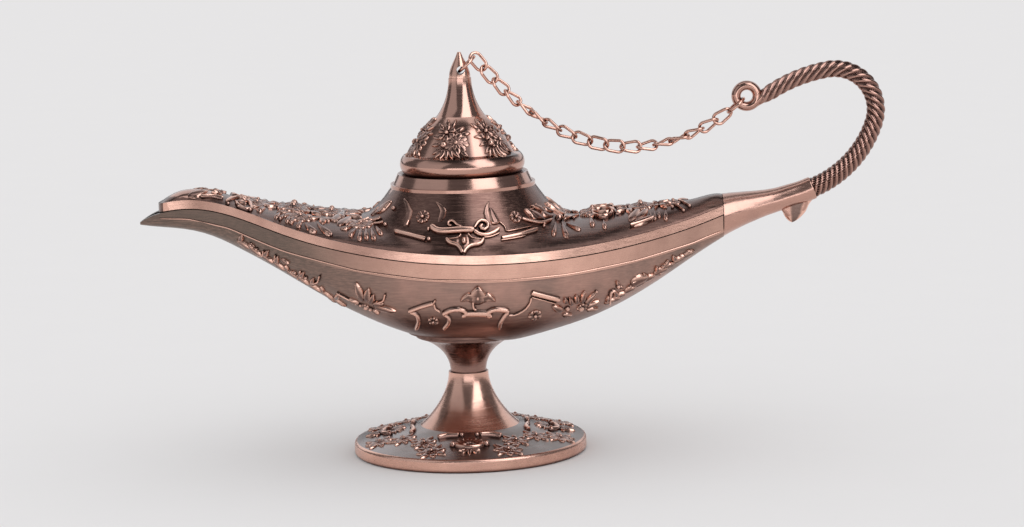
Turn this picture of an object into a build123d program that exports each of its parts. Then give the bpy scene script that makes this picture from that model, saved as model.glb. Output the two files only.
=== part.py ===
"""Genie oil lamp: two cast shells on a trumpet foot, a lift-off lid and a chain. Millimetres, +Z up."""
import math
import os
from functools import lru_cache

from build123d import *

os.makedirs("parts", exist_ok=True)

# Fits
fit_clear = 0.05        # glued or screwed spigots
seam_gap = 0.3          # shadow line between the two shells
lid_seat_gap = 0.1      # lid ring over the neck's rim
lid_side_clear = 0.35   # lid skirt in the neck bore

# Foot
foot_height = 23.6      # floor to the stem joint
foot_radius = 34.0
foot_edge = 3.8         # rim of the disc
foot_slope = 4.2        # rise of the disc from its rim to the trumpet
foot_wall = 2.2
foot_round = 0.9
trumpet_radius = 14.5   # where the stem spreads on to the disc
trumpet_pull = (0.45, 0.2, 0.62)   # how its curve leaves the disc, inwards and up, and reaches the stem
trumpet_hollow_pull = (0.4, 0.3)   # the same for the hollow under it
stem_radius = 5.8       # top of the foot
seat_thickness = 4.2    # plate that the screw pulls against

# Stem screw and washer
screw_radius = 1.95
screw_head_radius = 3.7
screw_head_height = 2.6
screw_slot_width = 1.1
screw_slot_depth = 1.2
screw_grip = 9.0        # thread held in the bowl's neck
washer_radius = 4.4
washer_thickness = 0.8
washer_room = 0.5       # hollow round the washer
screw_hole_clear = 0.25

# Bowl's neck above the joint
spigot_radius = 3.7
spigot_length = 1.2
bowl_neck_radius = 5.2
bowl_neck_height = 9.8  # joint to the first ring under the belly
neck_spread = 12.5
neck_pull = (0.45, 0.4)  # how its curve leaves the joint and spreads under the rings
neck_drop = 2.0         # height over which it spreads
low_ring_radius = 15.0
high_ring_radius = 17.3
ring_height = 0.9

# Shells
wall = 1.8
bowl_band = 5.2         # rim band of the lower shell
cover_band = 2.6        # rim band of the upper shell
band_lean = 0.8
band_step = 0.45
cover_ledge = 0.7
deck_sink = 0.4         # the deck's edge starts this far under the top of the cover's rim band
slim_width = 8.0        # half-width under which the bands grow finer
lip_clear = 0.45        # register lip of the cover inside the bowl
lip_thickness = 1.0
lip_depth = 2.0
lip_trim = 1.0          # the space under the cover is cut this far past the lip
deck_fullness = 0.75
belly_fullness = 0.6
cover_end = 75.0        # joint between the cover and the tail
nose_start = -84.0
nose_length = 4.5

# Plan, seam, keel and ridge of the hull: stations along X, heights above the stem joint
plan_points = [(-94, 1.2), (-91, 4.1), (-88, 5.8), (-78, 7.6), (-62, 14.0), (-45, 22.7), (-25, 30.3),
               (0, 33.0), (25, 30.0), (45, 22.0), (62, 13.0), (75, 7.6), (88, 4.5), (101.5, 3.25)]
seam_points = [(-94, 46.7), (-88, 49.6), (-80, 50.8), (-67, 49.1), (-50, 43.8), (-30, 39.3), (-10, 36.7),
               (10, 35.9), (30, 36.6), (50, 38.8), (65, 41.8), (79, 46.4)]
keel_points = [(-94, 45.7), (-88, 45.0), (-80, 44.0), (-73, 42.0), (-66, 38.7), (-52, 30.7), (-38, 22.2),
               (-24, 15.2), (-12, 11.0), (0, 9.6), (12, 9.6), (24, 12.0), (38, 16.4), (52, 23.2),
               (66, 32.0), (75, 37.5), (88, 43.3), (101.5, 47.7)]
ridge_points = [(-90, 50.6), (-88.5, 51.8), (-84, 54.6), (-78, 55.7), (-72, 54.6), (-60, 51.2), (-48, 49.0),
                (-36, 47.4), (-18, 46.4), (0, 46.0), (18, 45.4), (36, 45.4), (50, 46.8), (62, 48.0),
                (75, 50.0), (88, 50.9), (101.5, 54.2)]
band_points = [(-94, 0.4), (-91, 1.3), (-88, 2.2), (-80, 3.2), (-68, 4.6), (-56, bowl_band), (-30, bowl_band),
               (0, bowl_band), (30, bowl_band), (56, bowl_band), (79, bowl_band)]
tail_gap = 0.2          # joint line between the cover and the tail
tail_start = cover_end + tail_gap
bowl_stations = [-94, -91, -88, -84, -78, -70, -60, -50, -40, -30, -20, -10, 0, 10, 20, 30, 40, 50, 60, 68,
                 tail_start]
rim_inset = 0.3         # the rim band stops short of the belly at both ends
hollow_stations = [-92, -88, -84, -78, -70, -60, -50, -40, -30, -20, -10, 0, 10, 20, 30, 40, 50, 60, 66, 71]
deck_stations = [-90, -84, -78, -70, -60, -50, -42, -35, -29, -23, -17, -11, -5, 0, 5, 11, 17, 23, 29, 35,
                 42, 50, 60, 68, cover_end]
roof_stations = [-86, -78, -70, -60, -50, -42, -35, -29, -23, -17, -11, -5, 0, 5, 11, 17, 23, 29, 35, 42,
                 50, 60, 66]
lip_stations = [-76, -70, -60, -50, -40, -30, -20, -10, 0, 10, 20, 30, 40, 50, 60, 68]
tail_stations = [80, 88, 94, 99]
deck_samples = 8        # points from the ridge to each side of a deck section

# Neck of the cover
neck_bore = 15.3
neck_top = 58.6         # rim that the lid sits on, above the stem joint
neck_rim_radius = 18.9
collar_radius = 20.2
collar_height = 2.9
flange_radius = 21.0
flange_height = 0.9
flange_sink = 0.6       # flange wall carried on below the deck's skin
neck_deck = 2.2         # thickness under the flange
flare_slope = 1.65
flare_round = 6.0
blend_front = 4.0
blend_side = 8.0
sky = 100.0             # cutting height, taller than any deck section

# Spur under the tail
spur_tip = (95.2, 41.6)
spur_width = 3.4
spur_round = 1.0
spur_heel_reach = 4.0   # heel behind the tip
spur_heel_bow = (-1.4, 1.4)   # from the tip to the bow of its back
spur_toe_bow = (2.6, 1.5)     # from the tip to the bow of its front
spur_toe_sink = 0.4     # its front runs this far into the ferrule
spur_toe_back = 1.0     # and ends this far before the rope

# Rope handle: a start on the tail, then arcs of (radius, turn)
rope_start = (101.5, 51.1)
rope_heading = 20.6
rope_arcs = [(30.2, 50.7), (12.0, 117.6), (44.4, 29.6)]
rope_start_radius = 3.0
rope_end_radius = 2.3
tenon_radius = 1.9
tenon_length = 6.0
ferrule_radius = 3.25
ferrule_length = 3.4
eye_ring_radius = 3.05  # middle of the eye's wall
eye_wall = 1.38         # half thickness of that wall
eye_half_width = 1.9
eye_offset = (-2.7, 2.1)

# Lid, heights above its seat
skirt_depth = 5.2
lid_wall = 1.8
lid_rim_radius = 17.0
lid_ring_radius = 18.1
lid_ring_height = 5.2
dome_radius = 15.3
dome_height = 16.4
dome_groove = 0.6       # groove between the ring and the dome
dome_ledge = 0.4
dome_bulge = 0.5
spire_radius = 6.9
spire_height = 27.2
spire_top_radius = 3.3
spire_hollow = 0.7      # inward sweep of the spire

# Finial
finial_height = 7.5
finial_base_radius = 3.1
finial_tip_radius = 0.5
finial_pull = (0.4, 0.6)   # heights that shape its curve
finial_pin_radius = 1.5
finial_pin_length = 4.0
hole_radius = 1.2
hole_rise = 2.3         # chain hole above the finial's base
hole_offset = 0.35

# Chain
wire_radius = 0.45
ring_radius = 3.0       # jump rings at both ends, to the middle of the wire
link_pitch = 4.76
link_width = 3.7        # curb link, between wire middles
link_bend = 1.6
link_twist = 28.0
link_roll = -20.0       # turn from each link to the next
link_count = 18
link_clear = 0.12
link_hold = wire_radius + link_clear / 2  # from a link's pivot to the middle of its end wire
lid_ring_lean = 43.0
handle_ring_lean = 220.0
eye_clear = 0.09

hull_base = foot_height
neck_top_z = hull_base + neck_top
flange_z = neck_top_z - collar_height - flange_height
lid_seat_z = neck_top_z + lid_seat_gap
finial_z = lid_seat_z + spire_height


def guide(points, lift=0.0):
    """Smooth curve through (x, value) points, to be read at any x."""
    line = Spline(*points)

    @lru_cache(maxsize=None)
    def value(x):
        low = 0.0
        high = 1.0
        for _ in range(40):
            middle = (low + high) / 2
            if line.position_at(middle, position_mode=PositionMode.PARAMETER).X < x:
                low = middle
            else:
                high = middle
        return lift + line.position_at(low, position_mode=PositionMode.PARAMETER).Y

    return value


plan = guide(plan_points)
seam = guide(seam_points, hull_base)
keel = guide(keel_points, hull_base)
ridge = guide(ridge_points, hull_base)
band = guide(band_points)


def fineness(x):
    """Share of the full band relief at a station: the narrow spout has finer bands."""
    return min(1.0, plan(x) / slim_width)


def belly_half(x):
    """Half-width of the belly behind the rim band."""
    return plan(x) - (band_lean + band_step) * fineness(x)


def cup_outline(half, top, bend, floor):
    """Closed outline of a round-bottomed cup: a level top and two sides that curve under."""
    knee = bend + (floor - bend) * belly_fullness
    inner = half * belly_fullness
    Line((half, top), (-half, top))
    Bezier((-half, top), (-half, knee), (-inner, floor), (0, floor))
    Bezier((0, floor), (inner, floor), (half, knee), (half, top))


def belly_outline(x):
    """Lower shell's belly at a station."""
    cup_outline(belly_half(x), seam(x) - band(x) / 2, seam(x) - band(x), keel(x))


def hollow_outline(x):
    """Lower shell's inside at a station, open above the seam."""
    cup_outline(belly_half(x) - wall, seam(x) + cover_band, seam(x) - band(x), keel(x) + wall)


def band_outline(x):
    """Lower shell's rim band at a station."""
    top = seam(x) - seam_gap / 2
    half = plan(x)
    low = half - band_lean * fineness(x)
    foot_z = seam(x) - band(x)
    Polyline((-low, foot_z), (low, foot_z), (half, top), (-half, top), close=True)


def strip_outline(x):
    """Cover's rim band at a station."""
    half = plan(x)
    upper = half - band_step * fineness(x) / 2
    low = seam(x) + seam_gap / 2
    high = seam(x) + cover_band
    Polyline((-half, low), (half, low), (upper, high), (-upper, high), close=True)


def lip_outline(x):
    """Cover's register lip inside the bowl at a station."""
    half = belly_half(x) - wall - lip_clear
    low = seam(x) - lip_depth
    high = seam(x) + cover_band / 2
    Polyline((-half, low), (half, low), (half, high), (-half, high), close=True)


def smooth_max(a, b, reach):
    """The larger of two heights, rounded where they meet."""
    share = max(reach - abs(a - b), 0) / reach
    return max(a, b) + share * share * reach / 4


def deck_height(x, y, half, inset):
    """Height of the cover's skin: a crowned deck that sweeps up to the round neck."""
    edge = seam(x) + cover_band - deck_sink
    share = min(abs(y) / half, 1.0)
    crown = edge + (ridge(x) - edge) * (1 - share * share) ** deck_fullness
    radius = math.hypot(x, y)
    reach = math.hypot(radius, flare_round) - math.hypot(flange_radius, flare_round)
    flare = flange_z - flare_slope * reach
    side = (x / radius) ** 2 if radius else 0.0
    blend = blend_front + (blend_side - blend_front) * side
    return smooth_max(crown - inset, flare - inset * math.hypot(1, flare_slope), blend)


def skin_outline(x, half, foot_z, inset):
    """Closed outline under the deck's skin, with its points spaced alike at every station."""
    shares = [math.sin(math.pi / 2 * k / deck_samples) for k in range(-deck_samples, deck_samples + 1)]
    points = [Vector(-half * share, deck_height(x, half * share, half, inset)) for share in shares]
    Line((-half, foot_z), (half, foot_z))
    Line((half, foot_z), points[0])
    add(Edge.make_spline(points, parameters=[(1 + share) / 2 for share in shares]))
    Line(points[-1], (-half, foot_z))


def deck_outline(x):
    """Cover's deck at a station."""
    half = plan(x) - (band_step / 2 + cover_ledge) * fineness(x)
    skin_outline(x, half, seam(x) + cover_band / 2, 0)


def roof_outline(x):
    """Space under the cover at a station, open below the register lip."""
    half = belly_half(x) - wall - lip_clear - lip_thickness
    skin_outline(x, half, seam(x) - lip_depth - lip_trim, wall)


def hull(outline, stations):
    """Loft of one outline through its stations along X."""
    with BuildPart() as body:
        for x in stations:
            with BuildSketch(Plane.YZ.offset(x)):
                with BuildLine():
                    outline(x)
                make_face()
        loft()
    return body.part


def finish(builder, label):
    """Label a piece and write it."""
    builder.part.label = label
    export_step(builder.part, f"parts/{label}.step")
    return builder.part


# Foot: a disc and trumpet in one casting, hollow underneath
seat_z = foot_height - seat_thickness
trumpet_z = foot_edge + foot_slope
trumpet_rise = foot_height - trumpet_z
foot_hollow_radius = washer_radius + washer_room
trumpet_spread = trumpet_radius - stem_radius
with BuildPart() as foot:
    with BuildSketch(Plane.XZ):
        with BuildLine():
            Line((foot_radius - foot_wall, 0), (foot_radius, 0))
            Line((foot_radius, 0), (foot_radius, foot_edge))
            Line((foot_radius, foot_edge), (trumpet_radius, trumpet_z))
            Bezier((trumpet_radius, trumpet_z),
                   (trumpet_radius - trumpet_pull[0] * trumpet_spread,
                    trumpet_z + trumpet_pull[1] * trumpet_rise),
                   (stem_radius, trumpet_z + trumpet_pull[2] * trumpet_rise), (stem_radius, foot_height))
            Line((stem_radius, foot_height), (0, foot_height))
            Line((0, foot_height), (0, seat_z))
            Line((0, seat_z), (foot_hollow_radius, seat_z))
            Bezier((foot_hollow_radius, seat_z),
                   (foot_hollow_radius, trumpet_z + trumpet_hollow_pull[1] * trumpet_rise),
                   (foot_hollow_radius + trumpet_hollow_pull[0] * trumpet_spread, trumpet_z),
                   (trumpet_radius - foot_wall, trumpet_z - foot_wall))
            Line((trumpet_radius - foot_wall, trumpet_z - foot_wall),
                 (foot_radius - foot_wall, foot_edge - foot_wall))
            Line((foot_radius - foot_wall, foot_edge - foot_wall), (foot_radius - foot_wall, 0))
        make_face()
    revolve(axis=Axis.Z)
    round_edges = foot.edges().filter_by(GeomType.CIRCLE)
    fillet(round_edges.filter_by(lambda e: abs(e.radius - foot_radius) < fit_clear), foot_round)
    with BuildSketch(Plane.XY.offset(foot_height)):
        Circle(spigot_radius + fit_clear)
    extrude(amount=-(spigot_length + fit_clear), mode=Mode.SUBTRACT)
    with BuildSketch(Plane.XY.offset(seat_z)):
        Circle(screw_radius + screw_hole_clear)
    extrude(amount=seat_thickness, mode=Mode.SUBTRACT)
finish(foot, "foot")

# Washer under the screw's head
washer_z = seat_z - washer_thickness
with BuildPart() as washer:
    with BuildSketch(Plane.XY.offset(washer_z)):
        Circle(washer_radius)
        Circle(screw_radius + screw_hole_clear, mode=Mode.SUBTRACT)
    extrude(amount=washer_thickness)
finish(washer, "stem_washer")

# Stem screw: pan head with a slot, up through the foot into the bowl's neck
screw_top = foot_height + screw_grip
with BuildPart() as screw:
    with BuildSketch(Plane.XY.offset(washer_z)):
        Circle(screw_head_radius)
    extrude(amount=-screw_head_height)
    fillet(screw.edges().group_by(Axis.Z)[0], screw_head_height / 3)
    with BuildSketch(Plane.XY.offset(washer_z - screw_head_height)):
        Rectangle(3 * screw_head_radius, screw_slot_width)
    extrude(amount=screw_slot_depth, mode=Mode.SUBTRACT)
    with BuildSketch(Plane.XY.offset(washer_z)):
        Circle(screw_radius)
    extrude(amount=screw_top - washer_z)
    chamfer(screw.edges().group_by(Axis.Z)[-1], screw_radius / 4)
finish(screw, "stem_screw")

# Rope handle's frame: where the rope leaves the tail, and its line through the arcs to the eye
rope_z = hull_base + rope_start[1]
rope_point = Vector(rope_start[0], 0, rope_z)
rope_way = Vector(math.cos(math.radians(rope_heading)), 0, math.sin(math.radians(rope_heading)))
rope_plane = Plane(rope_point, x_dir=(0, 1, 0), z_dir=rope_way)
with BuildLine(Plane.XZ) as rope_line:
    point = (rope_start[0], rope_z)
    heading = rope_heading
    for radius, turn in rope_arcs:
        way = (math.cos(math.radians(heading)), math.sin(math.radians(heading)))
        JernArc(point, way, radius, turn)
        side = math.radians(heading + 90)
        centre = (point[0] + radius * math.cos(side), point[1] + radius * math.sin(side))
        heading += turn
        out = math.radians(heading - 90)
        point = (centre[0] + radius * math.cos(out), centre[1] + radius * math.sin(out))
rope_end = point
eye_x = rope_end[0] + eye_offset[0]
eye_z = rope_end[1] + eye_offset[1]

# Bowl: lower shell with the spout's lip, the tail with its spur, and the neck that takes the screw
bowl_belly = hull(belly_outline, bowl_stations)
rim_ends = (bowl_stations[0] + rim_inset, bowl_stations[-1] - rim_inset)
bowl_rim = hull(band_outline, [rim_ends[0]] + bowl_stations[1:-1] + [rim_ends[1]])
bowl_hollow = hull(hollow_outline, hollow_stations)
neck_z = hull_base + bowl_neck_height
spur_z = hull_base + spur_tip[1]
with BuildPart() as spur:
    with BuildSketch(Plane.XZ):
        with BuildLine():
            spur_heel_x = spur_tip[0] - spur_heel_reach
            spur_heel = (spur_heel_x, keel(spur_heel_x) + spur_width / 2)
            spur_toe = (rope_start[0] - spur_toe_back, rope_z - ferrule_radius + spur_toe_sink)
            spur_point = (spur_tip[0], spur_z)
            Spline(spur_heel, (spur_tip[0] + spur_heel_bow[0], spur_z + spur_heel_bow[1]), spur_point)
            Spline(spur_point, (spur_tip[0] + spur_toe_bow[0], spur_z + spur_toe_bow[1]), spur_toe)
            Line(spur_toe, spur_heel)
        make_face()
    extrude(amount=spur_width / 2, both=True)
    fillet(spur.edges().group_by(Axis.Y)[0] + spur.edges().group_by(Axis.Y)[-1], spur_round)
with BuildPart() as bowl:
    add(bowl_belly)
    add(bowl_rim)
    for x in [tail_start] + tail_stations:
        with BuildSketch(Plane.YZ.offset(x)):
            with Locations((0, (ridge(x) + keel(x)) / 2)):
                Ellipse(plan(x), (ridge(x) - keel(x)) / 2)
    loft()
    with BuildSketch(rope_plane):
        Circle(ferrule_radius)
    extrude(amount=-ferrule_length)
    add(spur.part)
    with BuildSketch(Plane.XZ):
        with BuildLine():
            Line((0, hull_base - spigot_length), (spigot_radius, hull_base - spigot_length))
            Line((spigot_radius, hull_base - spigot_length), (spigot_radius, hull_base))
            Line((spigot_radius, hull_base), (bowl_neck_radius, hull_base))
            Bezier((bowl_neck_radius, hull_base),
                   (bowl_neck_radius, hull_base + neck_pull[0] * bowl_neck_height),
                   (bowl_neck_radius + neck_pull[1] * (neck_spread - bowl_neck_radius), neck_z - neck_drop),
                   (neck_spread, neck_z))
            Polyline((neck_spread, neck_z), (low_ring_radius, neck_z + ring_height),
                     (low_ring_radius, neck_z + 2 * ring_height),
                     (high_ring_radius, neck_z + 2.5 * ring_height),
                     (high_ring_radius, neck_z + 4 * ring_height), (0, neck_z + 4 * ring_height),
                     (0, hull_base - spigot_length))
        make_face()
    revolve(axis=Axis.Z)
    add(bowl_hollow, mode=Mode.SUBTRACT)
    with BuildSketch(Plane.XY.offset(hull_base - spigot_length)):
        Circle(screw_radius + fit_clear)
    extrude(amount=spigot_length + screw_grip + fit_clear, mode=Mode.SUBTRACT)
    with BuildSketch(rope_plane):
        Circle(tenon_radius + fit_clear)
    extrude(amount=-(tenon_length + fit_clear), mode=Mode.SUBTRACT)
finish(bowl, "bowl")

# Cover: upper shell with the spout's nose, the register lip and the collar round the neck
roof_z = flange_z - neck_deck
cover_deck = hull(deck_outline, deck_stations)
cover_strip = hull(strip_outline, deck_stations)
cover_roof = hull(roof_outline, roof_stations)
cover_lip = hull(lip_outline, lip_stations)
with BuildPart() as roof_space:
    add(cover_roof)
    with BuildSketch(Plane.XY.offset(roof_z)):
        Circle(2 * flange_radius)
    extrude(amount=sky, mode=Mode.SUBTRACT)
with BuildPart() as cover:
    add(cover_deck)
    with BuildSketch(Plane.XY.offset(flange_z + flange_height / 2)):
        Circle(2 * flange_radius)
    extrude(amount=sky, mode=Mode.SUBTRACT)
    add(cover_strip)
    with BuildSketch(Plane.XY.offset(hull_base)):
        with Locations((nose_start - nose_length, 0)):
            Rectangle(2 * nose_length, 4 * nose_length)
        with Locations((nose_start, 0)):
            Ellipse(nose_length, plan(nose_start), mode=Mode.SUBTRACT)
    extrude(amount=sky, mode=Mode.SUBTRACT)
    add(cover_lip)
    with BuildSketch(Plane.XZ):
        with BuildLine():
            Polyline((0, roof_z), (flange_radius - neck_deck, roof_z),
                     (flange_radius, flange_z - flange_sink),
                     (flange_radius, flange_z + flange_height), (collar_radius, flange_z + flange_height),
                     (neck_rim_radius, neck_top_z), (0, neck_top_z), close=True)
        make_face()
    revolve(axis=Axis.Z)
    add(roof_space.part, mode=Mode.SUBTRACT)
    with BuildSketch(Plane.XY.offset(hull_base)):
        Circle(neck_bore)
    extrude(amount=neck_top + lid_seat_gap, mode=Mode.SUBTRACT)
finish(cover, "cover")

# Rope handle: a tapered bar with a tenon in the tail and an eye for the chain
rope_end_way = Vector(math.cos(math.radians(heading)), 0, math.sin(math.radians(heading)))
with BuildPart() as handle:
    with BuildSketch(rope_plane):
        Circle(rope_start_radius)
    with BuildSketch(Plane((rope_end[0], 0, rope_end[1]), x_dir=(0, 1, 0), z_dir=rope_end_way)):
        Circle(rope_end_radius)
    sweep(path=rope_line.wire(), multisection=True)
    with BuildSketch(rope_plane):
        Circle(tenon_radius)
    extrude(amount=-tenon_length)
    with BuildSketch(Plane((eye_x, 0, eye_z), x_dir=(1, 0, 0), z_dir=(0, 0, 1))):
        with Locations((eye_ring_radius, 0)):
            Ellipse(eye_wall, eye_half_width)
    revolve(axis=Axis((eye_x, 0, eye_z), (0, 1, 0)))
finish(handle, "rope_handle")

# Lid: hollow dome and spire over a skirt that drops into the neck
skirt_radius = neck_bore - lid_side_clear
dome_z = lid_seat_z + lid_ring_height + dome_groove
spire_z = lid_seat_z + dome_height
lid_inner = skirt_radius - lid_wall
with BuildPart() as lid:
    with BuildSketch(Plane.XZ):
        with BuildLine():
            Polyline((lid_inner, lid_seat_z - skirt_depth), (skirt_radius, lid_seat_z - skirt_depth),
                     (skirt_radius, lid_seat_z), (lid_rim_radius, lid_seat_z))
            ThreePointArc((lid_rim_radius, lid_seat_z), (lid_ring_radius, lid_seat_z + lid_ring_height / 2),
                          (lid_rim_radius, lid_seat_z + lid_ring_height))
            Polyline((lid_rim_radius, lid_seat_z + lid_ring_height),
                     (dome_radius + dome_ledge, dome_z - dome_groove / 3),
                     (dome_radius, dome_z))
            dome_middle = ((dome_radius + spire_radius) / 2 + dome_bulge,
                           (dome_z + spire_z) / 2 + dome_bulge)
            ThreePointArc((dome_radius, dome_z), dome_middle, (spire_radius, spire_z))
            ThreePointArc((spire_radius, spire_z),
                          ((spire_radius + spire_top_radius) / 2 - spire_hollow,
                           (spire_z + finial_z) / 2 - spire_hollow),
                          (spire_top_radius, finial_z))
            Polyline((spire_top_radius, finial_z), (0, finial_z), (0, spire_z - lid_wall),
                     (spire_radius - lid_wall, spire_z - lid_wall), (lid_inner, dome_z),
                     (lid_inner, lid_seat_z - skirt_depth))
        make_face()
    revolve(axis=Axis.Z)
    with BuildSketch(Plane.XY.offset(finial_z)):
        Circle(finial_pin_radius + fit_clear)
    extrude(amount=-(finial_pin_length + fit_clear), mode=Mode.SUBTRACT)
finish(lid, "lid")

# Finial: a pointed knob pinned into the spire, with a cross hole for the chain
hole_z = finial_z + hole_rise
finial_top = finial_z + finial_height
with BuildPart() as finial:
    with BuildSketch(Plane.XZ):
        with BuildLine():
            Line((0, finial_z), (finial_base_radius, finial_z))
            Bezier((finial_base_radius, finial_z),
                   (finial_base_radius, finial_z + finial_pull[0] * finial_height),
                   (finial_base_radius / 2, finial_z + finial_pull[1] * finial_height),
                   (finial_tip_radius, finial_top))
            Line((finial_tip_radius, finial_top), (0, finial_top))
            Line((0, finial_top), (0, finial_z))
        make_face()
    revolve(axis=Axis.Z)
    fillet(finial.edges().group_by(Axis.Z)[-1], finial_tip_radius / 2)
    with BuildSketch(Plane.XY.offset(finial_z)):
        Circle(finial_pin_radius)
    extrude(amount=-finial_pin_length)
    with BuildSketch(Plane.XZ):
        with Locations((hole_offset, hole_z)):
            Circle(hole_radius)
    extrude(amount=2 * finial_base_radius, both=True, mode=Mode.SUBTRACT)
finish(finial, "lid_finial")


def turned(angle):
    """Direction in the XZ plane at an angle above +X."""
    return Vector(math.cos(math.radians(angle)), 0, math.sin(math.radians(angle)))


def hang(start, end, pitch, count):
    """Angles of a hanging chain of equal links: each link's slope grows by the same step."""
    span = end - start
    low_step = 0.0
    high_step = 2.0
    for _ in range(60):
        step = (low_step + high_step) / 2
        low = -8.0
        high = 8.0
        for _ in range(60):
            slope = (low + high) / 2
            angles = [math.atan(slope + step * (k - (count - 1) / 2)) for k in range(count)]
            if sum(math.sin(a) for a in angles) * span.X < sum(math.cos(a) for a in angles) * span.Z:
                low = slope
            else:
                high = slope
        reach = pitch * math.hypot(sum(math.cos(a) for a in angles), sum(math.sin(a) for a in angles))
        if reach > span.length:
            low_step = step
        else:
            high_step = step
    return [math.degrees(a) for a in angles]


def jump_ring(centre, lean):
    """Round ring whose plane holds the Y axis and leans along the chain."""
    with BuildPart() as ring:
        along = turned(lean)
        with BuildSketch(Plane(centre, x_dir=along, z_dir=(0, 1, 0))):
            with Locations((ring_radius, 0)):
                Circle(wire_radius)
        revolve(axis=Axis(centre, along.cross(Vector(0, 1, 0))))
    return ring


def curb_link(middle, angle, roll):
    """Twisted oval link: its ends lean opposite ways about its length."""
    length = link_pitch / 2 + link_hold
    lean = math.radians(link_twist)
    half = link_width / 2
    across = half * math.cos(lean)
    rise = half * math.sin(lean)
    along = turned(angle)
    side = Vector(0, -1, 0)
    up = side.cross(along)
    facing = side * math.cos(math.radians(roll)) - up * math.sin(math.radians(roll))
    frame = Plane(middle, x_dir=along, z_dir=facing)
    corners = [(length, across, rise), (-length, across, -rise), (-length, -across, rise),
               (length, -across, -rise)]
    with BuildPart() as link:
        with BuildLine(frame) as link_line:
            FilletPolyline(*corners, radius=link_bend, close=True)
        for edge in link_line.edges():
            with BuildSketch(Plane(edge @ 0, z_dir=edge % 0)):
                Circle(wire_radius)
            sweep(path=edge)
    return link


# Chain: a jump ring in the finial, curb links that hang, and a jump ring in the handle's eye
hole_point = Vector(hole_offset, 0, hole_z)
lid_way = turned(lid_ring_lean)
lid_ring_middle = hole_point + lid_way * (ring_radius - hole_radius / 2)
lid_ring_wire = lid_ring_middle + lid_way * ring_radius
handle_way = turned(handle_ring_lean)
eye_middle = Vector(eye_x, 0, eye_z)
eye_hang = eye_ring_radius - eye_wall - wire_radius - eye_clear
handle_ring_middle = eye_middle + handle_way * (eye_hang + ring_radius)
handle_ring_wire = handle_ring_middle + handle_way * ring_radius
link_angles = [0.0] * link_count
for _ in range(8):
    chain_start = lid_ring_wire - turned(link_angles[0]) * link_hold
    chain_end = handle_ring_wire + turned(link_angles[-1]) * link_hold
    link_angles = hang(chain_start, chain_end, link_pitch, link_count)
chain_points = [chain_start]
for link_angle in link_angles:
    chain_points.append(chain_points[-1] + turned(link_angle) * link_pitch)

finish(jump_ring(lid_ring_middle, lid_ring_lean), "lid_jump_ring")
finish(jump_ring(handle_ring_middle, handle_ring_lean), "handle_jump_ring")
for number, link_angle in enumerate(link_angles):
    link_middle = (chain_points[number] + chain_points[number + 1]) / 2
    finish(curb_link(link_middle, link_angle, link_roll * number), f"chain_link_{number + 1:02d}")
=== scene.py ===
"""Looks of the genie oil lamp: camera, light, floor, aged copper, twisted rope and raised ornament.

Lengths are millimetres and are turned into metres by MM. Places named in pixels are places on the picture.
"""
import math

import bmesh
import bpy
from mathutils import Matrix, Vector
from mathutils.bvhtree import BVHTree


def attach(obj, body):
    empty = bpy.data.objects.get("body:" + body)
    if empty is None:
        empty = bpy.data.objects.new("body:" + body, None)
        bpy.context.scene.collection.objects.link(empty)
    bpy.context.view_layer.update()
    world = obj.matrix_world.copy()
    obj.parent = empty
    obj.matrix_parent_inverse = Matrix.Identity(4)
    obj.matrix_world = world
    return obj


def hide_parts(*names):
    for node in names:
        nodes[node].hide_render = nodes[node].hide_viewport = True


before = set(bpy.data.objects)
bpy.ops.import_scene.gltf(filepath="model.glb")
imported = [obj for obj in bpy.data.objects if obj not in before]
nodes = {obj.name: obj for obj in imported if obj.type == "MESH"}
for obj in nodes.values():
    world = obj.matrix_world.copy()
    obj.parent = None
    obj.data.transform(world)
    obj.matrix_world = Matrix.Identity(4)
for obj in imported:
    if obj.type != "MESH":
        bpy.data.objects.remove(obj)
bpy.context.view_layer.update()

MM = 0.001

# Camera, as fitted to the photograph
PICTURE_WIDTH = 1024
PICTURE_HEIGHT = 527
FOCAL_PIXELS = 3262.0
SENSOR = 36.0
CAMERA_PLACE = Vector((13.6, -940.0, 195.0)) * MM
CAMERA_PITCH = math.radians(8.48)
CAMERA_ROLL = math.radians(1.6)
CAMERA_REACH = 60.0

# Light and floor. Cards: bearing from the front and rise in degrees, distance, width, height, brightness
FLOOR_HALF = 20000.0
FLOOR_SHADE = (0.80, 0.79, 0.78, 1.0)
SKY_SHADE = (1.0, 1.0, 1.02, 1.0)
ROOM_SHADE = (0.14, 0.145, 0.155, 1.0)
CARD_SHADE = (0.90, 0.96, 1.0)
AIM = Vector((0.0, 0.0, 60.0))
CARDS = {
    "right": (44.0, 40.0, 800.0, 540.0, 1020.0, 2.6),
    "left": (-64.0, 28.0, 800.0, 840.0, 900.0, 0.45),
    "front": (2.0, 2.0, 850.0, 950.0, 170.0, 1.8),
    "back": (180.0, 28.0, 860.0, 1900.0, 660.0, 0.75),
    "top": (180.0, 78.0, 800.0, 900.0, 340.0, 0.9),
}

# Copper tones, how far a recess reaches into the light, and the same for fine work
BRIGHT = (0.93, 0.55, 0.43, 1.0)
WARM = (0.62, 0.35, 0.275, 1.0)
PALE = (0.36, 0.29, 0.275, 1.0)
SOFT = (0.50, 0.29, 0.235, 1.0)
AGED = (0.23, 0.165, 0.14, 1.0)
GREY = (0.20, 0.155, 0.14, 1.0)
OLIVE = (0.175, 0.13, 0.108, 1.0)
UMBER = (0.125, 0.07, 0.058, 1.0)
SEPIA = (0.27, 0.155, 0.13, 1.0)
BROWN = (0.17, 0.088, 0.072, 1.0)
BLACK = (0.045, 0.028, 0.026, 1.0)
RECESS_REACH = 2.2
FINE_REACH = 0.8

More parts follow.
